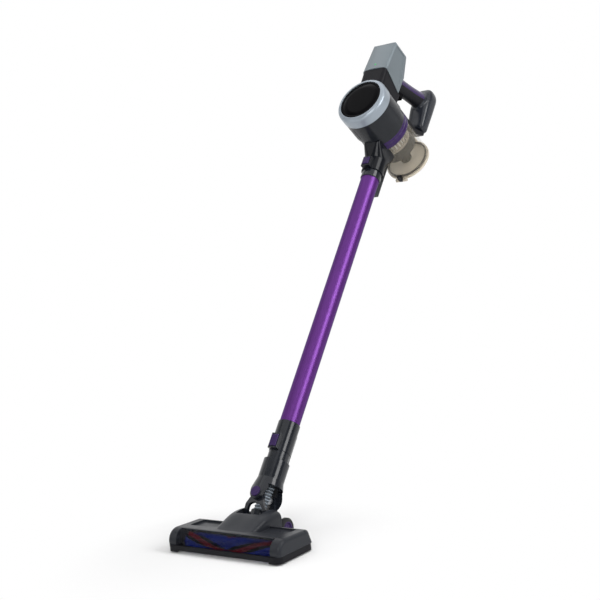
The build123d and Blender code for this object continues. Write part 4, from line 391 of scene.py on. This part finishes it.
# Solids that stay in view; the pieces built below replace the rest
NODE_FINISH = {
    "cover_grey": ("head_cover",),
    "dark_plastic": (
        "head_base", "brush_core", "brush_pulley", "neck_spigot", "fan_impeller", "bin_hinge_lug",
        "body_bridge", "battery_dock", "rear_spine", "grip_front",
    ),
    "slate_gloss": ("neck_yoke", "neck_fork", "lower_collar", "upper_collar"),
    "slate_dark": ("inlet_duct",),
    "housing_grey": ("motor_housing",),
    "black_gloss": ("trigger",),
    "silver": ("filter_cap_ring",),
    "battery_silver": ("battery_shell",),
    "purple_metal": ("wand_tube",),
    "purple_plastic": (
        "wheel_hub_right", "wheel_hub_left", "pivot_caps", "head_release_button", "wand_release_button",
        "grip_back",
    ),
    "smoky_clear": ("dust_bin",),
    "lid_clear": ("bin_lid", "lid_latch"),
    "window_clear": ("brush_window",),
    "rubber": ("wheel_tyre_right", "wheel_tyre_left", "drive_belt", "lid_seal"),
    "steel": ("brush_bushes", "wheel_axles", "sole_screws", "motor_pinion", "roll_pins", "lid_pin"),
    "motor_alloy": ("fan_motor", "brush_motor"),
    "cell_wrap": ("battery_cells",),
    "board_green": ("battery_board",),
    "led_green": ("status_led",),
    "filter_white": ("exhaust_filter", "pre_filter"),
    "cyclone_grey": ("cyclone_skirt",),
    "mesh_brown": ("cyclone_shroud",),
}


def dress_nodes(finishes):
    """Gives every carried-over solid its finish."""
    for finish, names in NODE_FINISH.items():
        for name in names:
            for slot in nodes[name].material_slots:
                slot.material = finishes[finish].material


# Mesh building


def add_mesh(name, points, faces, finish):
    """A smooth mesh piece from points in metres in the shared frame."""
    data = bpy.data.meshes.new(name)
    data.from_pydata([tuple(p) for p in points], [], faces)
    data.validate()
    data.polygons.foreach_set("use_smooth", [True] * len(data.polygons))
    data.materials.append(finish.material)
    piece = bpy.data.objects.new(name, data)
    bpy.context.scene.collection.objects.link(piece)
    return piece


def tube_faces(rows, around):
    """Quads of a closed ring of rows, each row a closed ring of points."""
    faces = []
    for i in range(rows):
        j = (i + 1) % rows
        for k in range(around):
            m = (k + 1) % around
            faces.append((i * around + k, i * around + m, j * around + m, j * around + k))
    return faces


def loft_mesh(rings, points, faces):
    """Closed skin over rings of equally many points."""
    base = len(points)
    around = len(rings[0])
    for ring in rings:
        points.extend(ring)
    for i in range(len(rings) - 1):
        for k in range(around):
            m = (k + 1) % around
            low = base + i * around
            faces.append((low + k, low + m, low + around + m, low + around + k))
    faces.append(tuple(base + k for k in reversed(range(around))))
    faces.append(tuple(base + (len(rings) - 1) * around + k for k in range(around)))


def lathe_points(profile, around):
    """Points of a profile of radius and height turned about the hand unit's axis."""
    points = []
    for k in range(around):
        angle = 2 * math.pi * k / around
        for radius, z in profile:
            points.append(HAND @ Vector((radius * math.cos(angle), radius * math.sin(angle), z)) * MM)
    return points


# Hose, in the wand frame
HOSE_BOTTOM_S = -47.0
HOSE_TOP_S = 44.8
HOSE_PORT_S = -40.0
HOSE_STRAIGHT_S = 8.0
HOSE_LEAN = 4.0
HOSE_R = 11.8
HOSE_ROOT_R = 9.6
HOSE_BORE_R = 8.6
HOSE_CUFF = 6.0
HOSE_TURNS = 13
HOSE_RIB_SHARP = 1.3
HOSE_AROUND = 64
HOSE_STEPS = 16


def hose_y(s):
    run = clamp((s - HOSE_PORT_S) / (HOSE_STRAIGHT_S - HOSE_PORT_S))
    return -HOSE_LEAN * (1 - smooth(run))


def hose_radius(s, angle):
    """Outer radius of the hose: a rounded helical rib between two plain cuffs."""
    low = HOSE_BOTTOM_S + HOSE_CUFF
    high = HOSE_TOP_S - HOSE_CUFF
    pitch = (high - low) / HOSE_TURNS
    wave = 0.5 + 0.5 * math.cos(2 * math.pi * (s - low) / pitch - angle)
    rib = HOSE_ROOT_R + (HOSE_R - HOSE_ROOT_R) * wave ** HOSE_RIB_SHARP
    inside = clamp(min(s - low, high - s) / (pitch / 2))
    return HOSE_R + (rib - HOSE_R) * inside


def make_hose(finishes):
    """Ribbed hose with a plain bore, bending between the yoke and the fork."""
    count = HOSE_TURNS * HOSE_STEPS
    rows = []
    for i in range(count + 1):
        rows.append((HOSE_BOTTOM_S + (HOSE_TOP_S - HOSE_BOTTOM_S) * i / count, True))
    for i in range(0, count + 1, HOSE_STEPS):
        rows.append((HOSE_TOP_S - (HOSE_TOP_S - HOSE_BOTTOM_S) * i / count, False))
    points = []
    for s, outer in rows:
        for k in range(HOSE_AROUND):
            angle = 2 * math.pi * k / HOSE_AROUND
            radius = hose_radius(s, angle) if outer else HOSE_BORE_R
            spot = Vector((radius * math.cos(angle), hose_y(s) + radius * math.sin(angle), s))
            points.append(WAND @ spot * MM)
    faces = tube_faces(len(rows), HOSE_AROUND)
    piece = add_mesh("ribbed_hose", points, faces, finishes["hose_grey"])
    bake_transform(piece)
    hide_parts("neck_hose")


# Brush roll, in the head frame
BRUSH_Y = -27.3
BRUSH_Z = 19.0
BRUSH_ROOT_R = 10.15
BRUSH_TIP_R = 17.4
STRIP_FROM_X = -97.0
STRIP_TO_X = 105.0
STRIP_MIDDLE_X = 4.0
STRIP_HALF = 104.0
STRIP_TURN = 150.0
STRAND_STEP = 1.25
STRAND_SIDES = 3
# Size of a strand at its root, middle and tip
STRAND_TAPER = (1.0, 0.85, 0.45)
# How far single strands stray: within a step, across the strip, in lean, in length, at the tip, in sag
STRAND_WITHIN = (0.1, 0.9)
STRAND_ACROSS = 0.3
STRAND_LEAN = 7
STRAND_SHORT = 0.9
STRAND_STRAY = 0.8
STRAND_SAG = 0.3
# Strips: piece, replaced node, finish, phases, half angle, strand radius and seed
BRUSH_STRIPS = (
    ("bristle_tufts_blue", "bristles_blue", "bristle_blue", (0.0, 180.0), 42.0, 0.42, 11),
    ("bristle_tufts_red", "bristles_red", "bristle_red", (90.0, 270.0), 12.0, 0.36, 12),
)


def strip_angle(x, phase):
    return phase + STRIP_TURN * (1 - abs(x - STRIP_MIDDLE_X) / STRIP_HALF)


def add_strand(points, faces, root, tip, sag, radius):
    """One bristle: a tapered, slightly bent prism."""
    base = len(points)
    middle = (root + tip) / 2 + sag
    along = (tip - root).normalized()
    side = along.orthogonal().normalized()
    other = along.cross(side)
    for centre, taper in zip((root, middle, tip), STRAND_TAPER):
        for k in range(STRAND_SIDES):
            angle = 2 * math.pi * k / STRAND_SIDES
            way = side * math.cos(angle) + other * math.sin(angle)
            points.append((centre + way * (radius * taper)) * MM)
    for row in range(2):
        for k in range(STRAND_SIDES):
            m = (k + 1) % STRAND_SIDES
            low = base + row * STRAND_SIDES
            faces.append((low + k, low + m, low + STRAND_SIDES + m, low + STRAND_SIDES + k))
    faces.append(tuple(base + 2 * STRAND_SIDES + k for k in range(STRAND_SIDES)))
    faces.append(tuple(base + k for k in reversed(range(STRAND_SIDES))))


def either_way(draw, amount):
    return draw.uniform(-amount, amount)


def brush_spot(x, reach, angle):
    """A point of the brush at a distance from its axis."""
    return Vector((x, BRUSH_Y + reach * math.cos(angle), BRUSH_Z + reach * math.sin(angle)))


def make_bristles(finishes):
    """Two strips of single strands in each colour."""
    for name, node, finish, phases, half_angle, radius, seed in BRUSH_STRIPS:
        draw = random.Random(seed)
        points, faces = [], []
        rows = max(2, round(2 * math.radians(half_angle) * BRUSH_ROOT_R / STRAND_STEP) + 1)
        count = round((STRIP_TO_X - STRIP_FROM_X) / STRAND_STEP)
        for phase in phases:
            for i in range(count):
                for j in range(rows):
                    x = STRIP_FROM_X + (i + draw.uniform(*STRAND_WITHIN)) * STRAND_STEP
                    x = min(max(x, STRIP_FROM_X), STRIP_TO_X)
                    spread = half_angle * (2 * (j + either_way(draw, STRAND_ACROSS)) / (rows - 1) - 1)
                    angle = math.radians(strip_angle(x, phase) + spread)
                    lean = math.radians(either_way(draw, STRAND_LEAN))
                    reach = BRUSH_TIP_R - radius - draw.uniform(0, STRAND_SHORT)
                    root = brush_spot(x, BRUSH_ROOT_R, angle)
                    tip = brush_spot(x + either_way(draw, STRAND_STRAY), reach, angle + lean)
                    sag = Vector([either_way(draw, STRAND_SAG) for _ in range(3)])
                    add_strand(points, faces, root, tip, sag, radius)
        piece = add_mesh(name, points, faces, finishes[finish])
        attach(piece, "brush")
        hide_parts(node)


# Felt strip, in the head frame
FELT_HALF_X = 105.0
FELT_HALF_Y = 4.5
FELT_TALL = 3.0
FELT_ROUND = 0.7
FELT_CORNER_STEPS = 3
FELT_STEP = 1.0
FELT_SEED = 21
# How far the surface sinks in from the sides and down from above
FELT_SHRINK = 0.05
FELT_SINK = 0.12
# Fibres: how many, room left at the ends, below and above, depth of the root, reach and radius
FELT_FUZZ = 1400
FUZZ_END = 1
FUZZ_BELOW = 0.4
FUZZ_ABOVE = 0.3
FUZZ_ROOT = 0.35
FUZZ_OUT = (0.15, 0.33)
FUZZ_ALONG = 0.5
FUZZ_UP = 0.2
FUZZ_R = 0.05


def make_felt(finishes):
    """Felt strip: a soft-edged bar with an uneven surface and short fibres along its sides."""
    draw = random.Random(FELT_SEED)
    side, low, high = FELT_HALF_Y - FELT_ROUND, FELT_ROUND, FELT_TALL - FELT_ROUND
    profile = []
    for y, z, start in ((side, low, -90), (side, high, 0), (-side, high, 90), (-side, low, 180)):
        for k in range(FELT_CORNER_STEPS + 1):
            angle = math.radians(start + 90 * k / FELT_CORNER_STEPS)
            profile.append((y + FELT_ROUND * math.cos(angle), z + FELT_ROUND * math.sin(angle)))
    count = round(2 * FELT_HALF_X / FELT_STEP)
    points, faces, rings = [], [], []
    for i in range(count + 1):
        x = -FELT_HALF_X + 2 * FELT_HALF_X * i / count
        ring = []
        for y, z in profile:
            shrink = 1 - draw.uniform(0, FELT_SHRINK)
            ring.append(Vector((x, y * shrink, max(0, z - draw.uniform(0, FELT_SINK)))) * MM)
        rings.append(ring)
    loft_mesh(rings, points, faces)
    for i in range(FELT_FUZZ):
        way = -1 if i % 2 else 1
        x = draw.uniform(-FELT_HALF_X + FUZZ_END, FELT_HALF_X - FUZZ_END)
        z = draw.uniform(FUZZ_BELOW, FELT_TALL - FUZZ_ABOVE)
        root = Vector((x, way * (FELT_HALF_Y - FUZZ_ROOT), z))
        along = either_way(draw, FUZZ_ALONG)
        out = way * draw.uniform(*FUZZ_OUT)
        tip = root + Vector((along, out, either_way(draw, FUZZ_UP)))
        add_strand(points, faces, root, tip, Vector((0, 0, 0)), FUZZ_R)
    piece = add_mesh("felt_wiper", points, faces, finishes["felt"])
    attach(piece, "head")
    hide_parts("felt_strip")


# Ring between the bin and the motor housing, in the hand frame: radius and height of its outline
RING_PROFILE = (
    (44.0, 14.0), (52.2, 14.0), (52.2, -1.0), (53.4, -2.0), (54.6, -1.2), (55.3, 0.6), (55.5, 2.0),
    (55.5, 9.0), (55.1, 9.5), (55.1, 10.1), (55.5, 10.6), (55.5, 18.4), (54.9, 19.0), (44.0, 19.0),
)
RING_AROUND = 128


def make_ring(finishes):
    """Purple ring with a rounded lower lip and a fine groove round it."""
    points = lathe_points(RING_PROFILE, RING_AROUND)
    faces = tube_faces(RING_AROUND, len(RING_PROFILE))
    piece = add_mesh("purple_ring", points, faces, finishes["purple_plastic"])
    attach(piece, "hand")
    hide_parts("bin_ring")


# Disc of the filter cap, in the hand frame: radius and height from its middle out and round under it
DISC_PROFILE = (
    (6.0, 112.6), (20.0, 112.57), (32.0, 112.45), (42.6, 112.15), (43.0, 111.75), (43.8, 111.7),
    (44.2, 112.0), (46.5, 111.85), (48.2, 111.5), (48.9, 110.8), (49.0, 109.4), (48.6, 109.0),
    (30.0, 109.0), (6.0, 109.0),
)
DISC_AROUND = 128


def make_disc(finishes):
    """Black disc: a shallow dome with a fine groove inside its rim."""
    points = lathe_points(DISC_PROFILE, DISC_AROUND)
    rows = len(DISC_PROFILE)
    faces = []
    for k in range(DISC_AROUND):
        m = (k + 1) % DISC_AROUND
        for i in range(rows - 1):
            faces.append((k * rows + i, k * rows + i + 1, m * rows + i + 1, m * rows + i))
    faces.append(tuple(k * rows for k in range(DISC_AROUND)))
    faces.append(tuple(k * rows + rows - 1 for k in reversed(range(DISC_AROUND))))
    piece = add_mesh("cap_disc", points, faces, finishes["black_gloss"])
    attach(piece, "filter_cap")
    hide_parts("filter_cap_disc")


# Foot of the grip, in the hand frame
FOOT_FROM_Y = 80.0
FOOT_TO_Y = 193.0
FOOT_BOTTOM = -116.0
FOOT_TOP = -76.0
FOOT_FRONT_FALL = 8.0
FOOT_FRONT_HALF = 22.5
FOOT_HALF = 25.0
FOOT_FRONT_ROUND = 9.0
FOOT_REAR_ROUND = 26.0
# Share of the length over which the front swells, and the least size of the ends
FOOT_SWELL_SHARE = 0.6
FOOT_END_LEAST = 0.45
FOOT_POWER = 3.6
FOOT_ROWS = 48
FOOT_AROUND = 64
FOOT_VOXEL = 0.0013
FOOT_SMOOTH_FACTOR = 0.5
FOOT_SMOOTH_STEPS = 14
GRIP_HALF = 17.0
GRIP_DEPTH = 20.0
GRIP_BASE_Y = 127.46
GRIP_RAKE = 0.338
# Height and swell of the collar that carries the grip down into the foot
FOOT_NECK = (
    (-100.0, 1.3), (-90.0, 1.28), (-82.0, 1.2), (-75.0, 1.1), (-69.0, 1.03), (-64.0, 0.9), (-58.0, 0.7),
)


def foot_row(share):
    """Half width, middle and half height of the foot at a share of its length."""
    length = FOOT_TO_Y - FOOT_FROM_Y
    inside = min(share * length / FOOT_FRONT_ROUND, (1 - share) * length / FOOT_REAR_ROUND)
    end = 1.0 if inside >= 1 else math.sqrt(max(0.0, 1 - (1 - inside) ** 2))
    size = FOOT_END_LEAST + (1 - FOOT_END_LEAST) * end
    swell = smooth(min(share / FOOT_SWELL_SHARE, 1))
    half = FOOT_FRONT_HALF + (FOOT_HALF - FOOT_FRONT_HALF) * swell
    top = FOOT_TOP - FOOT_FRONT_FALL * (1 - swell)
    return half * size, (top + FOOT_BOTTOM) / 2, (top - FOOT_BOTTOM) / 2 * size


def soft_power(value):
    """Rounded-square share of a sine or cosine."""
    return math.copysign(abs(value) ** (2 / FOOT_POWER), value)


def make_foot(finishes):
    """Foot of the grip: a soft block that swells up round the grip's end, skinned as one surface."""
    points, faces, rings = [], [], []
    turn = [2 * math.pi * k / FOOT_AROUND for k in range(FOOT_AROUND)]
    for i in range(FOOT_ROWS + 1):
        share = i / FOOT_ROWS
        half, middle, tall = foot_row(share)
        y = FOOT_FROM_Y + (FOOT_TO_Y - FOOT_FROM_Y) * share
        rings.append([
            HAND @ Vector((half * soft_power(math.cos(a)), y, middle - tall * soft_power(math.sin(a)))) * MM
            for a in turn
        ])
    loft_mesh(rings, points, faces)
    rings = []
    for z, swell in FOOT_NECK:
        y = GRIP_BASE_Y - GRIP_RAKE * z
        rings.append([
            HAND @ Vector((GRIP_HALF * swell * math.cos(a), y + GRIP_DEPTH * swell * math.sin(a), z)) * MM
            for a in turn
        ])
    loft_mesh(rings, points, faces)
    piece = add_mesh("soft_foot", points, faces, finishes["foot_grey"])
    skin = piece.modifiers.new("skin", "REMESH")
    skin.mode = "VOXEL"
    skin.voxel_size = FOOT_VOXEL
    skin.use_smooth_shade = True
    ease = piece.modifiers.new("ease", "SMOOTH")
    ease.factor = FOOT_SMOOTH_FACTOR
    ease.iterations = FOOT_SMOOTH_STEPS
    shaped = piece.evaluated_get(bpy.context.evaluated_depsgraph_get())
    settled = bpy.data.meshes.new_from_object(shaped)
    piece.modifiers.clear()
    piece.data = settled
    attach(piece, "hand")
    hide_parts("grip_foot")


# Studio: floor in metres, its own glow, and where it runs out to white; levels of the world
FLOOR_HALF = 30.0
FLOOR_WHITE = 0.84
FLOOR_ROUGH = 0.8
FLOOR_GLOW = 0.07
FLOOR_NEAR = 0.14
FLOOR_FAR = 0.36
WORLD_FILL = 0.3
BACKDROP_WAY = (-0.615, 0.788, 0.0)
BACKDROP_FROM = -0.1
BACKDROP_FULL = 0.7
ROOM_DIM = 0.2


def either(tree, *values):
    """The largest of some ray switches."""
    seen = values[0]
    for other in values[1:]:
        made = new_node(tree, "ShaderNodeMath", operation="MAXIMUM")
        tree.links.new(seen, made.inputs[0])
        tree.links.new(other, made.inputs[1])
        seen = made.outputs["Value"]
    return seen


def make_world():
    """White for the eye and through glass, a white backdrop in a dim room for mirrors, else a soft fill."""
    world = bpy.data.worlds.new("studio")
    world.use_nodes = True
    bpy.context.scene.world = world
    tree = world.node_tree
    back = tree.nodes["Background"]
    back.inputs["Color"].default_value = (1, 1, 1, 1)
    path = new_node(tree, "ShaderNodeLightPath").outputs
    towards = new_node(tree, "ShaderNodeVectorMath", operation="DOT_PRODUCT")
    tree.links.new(new_node(tree, "ShaderNodeTexCoord").outputs["Generated"], towards.inputs[0])
    towards.inputs[1].default_value = BACKDROP_WAY
    facing = towards.outputs["Value"]
    room = map_range(tree, facing, ROOM_DIM, 1, BACKDROP_FROM, BACKDROP_FULL, "SMOOTHSTEP")
    level = map_range(tree, path["Is Glossy Ray"], WORLD_FILL, room)
    seen = either(tree, path["Is Camera Ray"], path["Is Transmission Ray"])
    tree.links.new(map_range(tree, seen, level), back.inputs["Strength"])


def make_floor():
    """Pale floor that takes the shadow near the object and runs out to white far from it."""
    data = bpy.data.meshes.new("floor")
    ways = ((-1, -1), (1, -1), (1, 1), (-1, 1))
    data.from_pydata([(x * FLOOR_HALF, y * FLOOR_HALF, 0) for x, y in ways], [], [(0, 1, 2, 3)])
    floor = bpy.data.objects.new("floor", data)
    bpy.context.scene.collection.objects.link(floor)
    pale = Finish(
        "floor", (FLOOR_WHITE, FLOOR_WHITE, FLOOR_WHITE), FLOOR_ROUGH, specular_ior_level=0.0,
        emission_color=(1, 1, 1, 1), emission_strength=FLOOR_GLOW)
    tree = pale.tree
    away = pale.node("ShaderNodeVectorMath", operation="LENGTH")
    pale.link(pale.node("ShaderNodeNewGeometry").outputs["Position"], away.inputs[0])
    far = map_range(tree, away.outputs["Value"], 0, 1, FLOOR_NEAR, FLOOR_FAR, "SMOOTHSTEP")
    path = pale.node("ShaderNodeLightPath").outputs
    seen = either(tree, path["Is Camera Ray"], path["Is Glossy Ray"], path["Is Transmission Ray"])
    share = pale.node("ShaderNodeMath", operation="MULTIPLY")
    pale.link(far, share.inputs[0])
    pale.link(seen, share.inputs[1])
    mixed = pale.node("ShaderNodeMixShader")
    pale.link(share.outputs["Value"], mixed.inputs["Fac"])
    pale.link(pale.shader.outputs["BSDF"], mixed.inputs[1])
    pale.link(pale.node("ShaderNodeEmission").outputs["Emission"], mixed.inputs[2])
    pale.link(mixed.outputs["Shader"], tree.nodes["Material Output"].inputs["Surface"])
    data.materials.append(pale.material)


# Soft lamps: name, place, aim, the way their height runs, width, height in metres, and watts
TUBE_WAY = tuple(WAND.to_3x3() @ Vector((0, 0, 1)))
LAMPS = (
    ("overhead", (0.1, 0.2, 2.6), (0, 0.4, 0.3), (0, 1, 0), 3.2, 3.2, 28),
    ("front_key", (1.0, -1.9, 1.4), (0, 0.35, 0.45), (0, 0, 1), 1.2, 1.2, 24),
    ("right_strip", (1.85, 0.45, 1.5), (0, 0.4, 0.48), TUBE_WAY, 0.95, 1.7, 30),
    ("left_fill", (-1.6, -1.4, 1.3), (0, 0.3, 0.5), (0, 0, 1), 1.2, 1.6, 6),
)


def make_lamps():
    for name, at, aim, up, width, height, watts in LAMPS:
        lamp = bpy.data.lights.new(name, "AREA")
        lamp.shape = "RECTANGLE"
        lamp.size = width
        lamp.size_y = height
        lamp.energy = watts
        away = (Vector(at) - Vector(aim)).normalized()
        side = Vector(up).cross(away).normalized()
        basis = Matrix((side, away.cross(side), away)).transposed().to_4x4()
        placed = bpy.data.objects.new(name, lamp)
        placed.matrix_world = Matrix.Translation(at) @ basis
        bpy.context.scene.collection.objects.link(placed)


bpy.context.scene.view_settings.view_transform = "Standard"
finishes = make_finishes()
dress_nodes(finishes)
make_hose(finishes)
make_bristles(finishes)
make_felt(finishes)
make_ring(finishes)
make_disc(finishes)
make_foot(finishes)
make_world()
make_floor()
make_lamps()
place_camera()
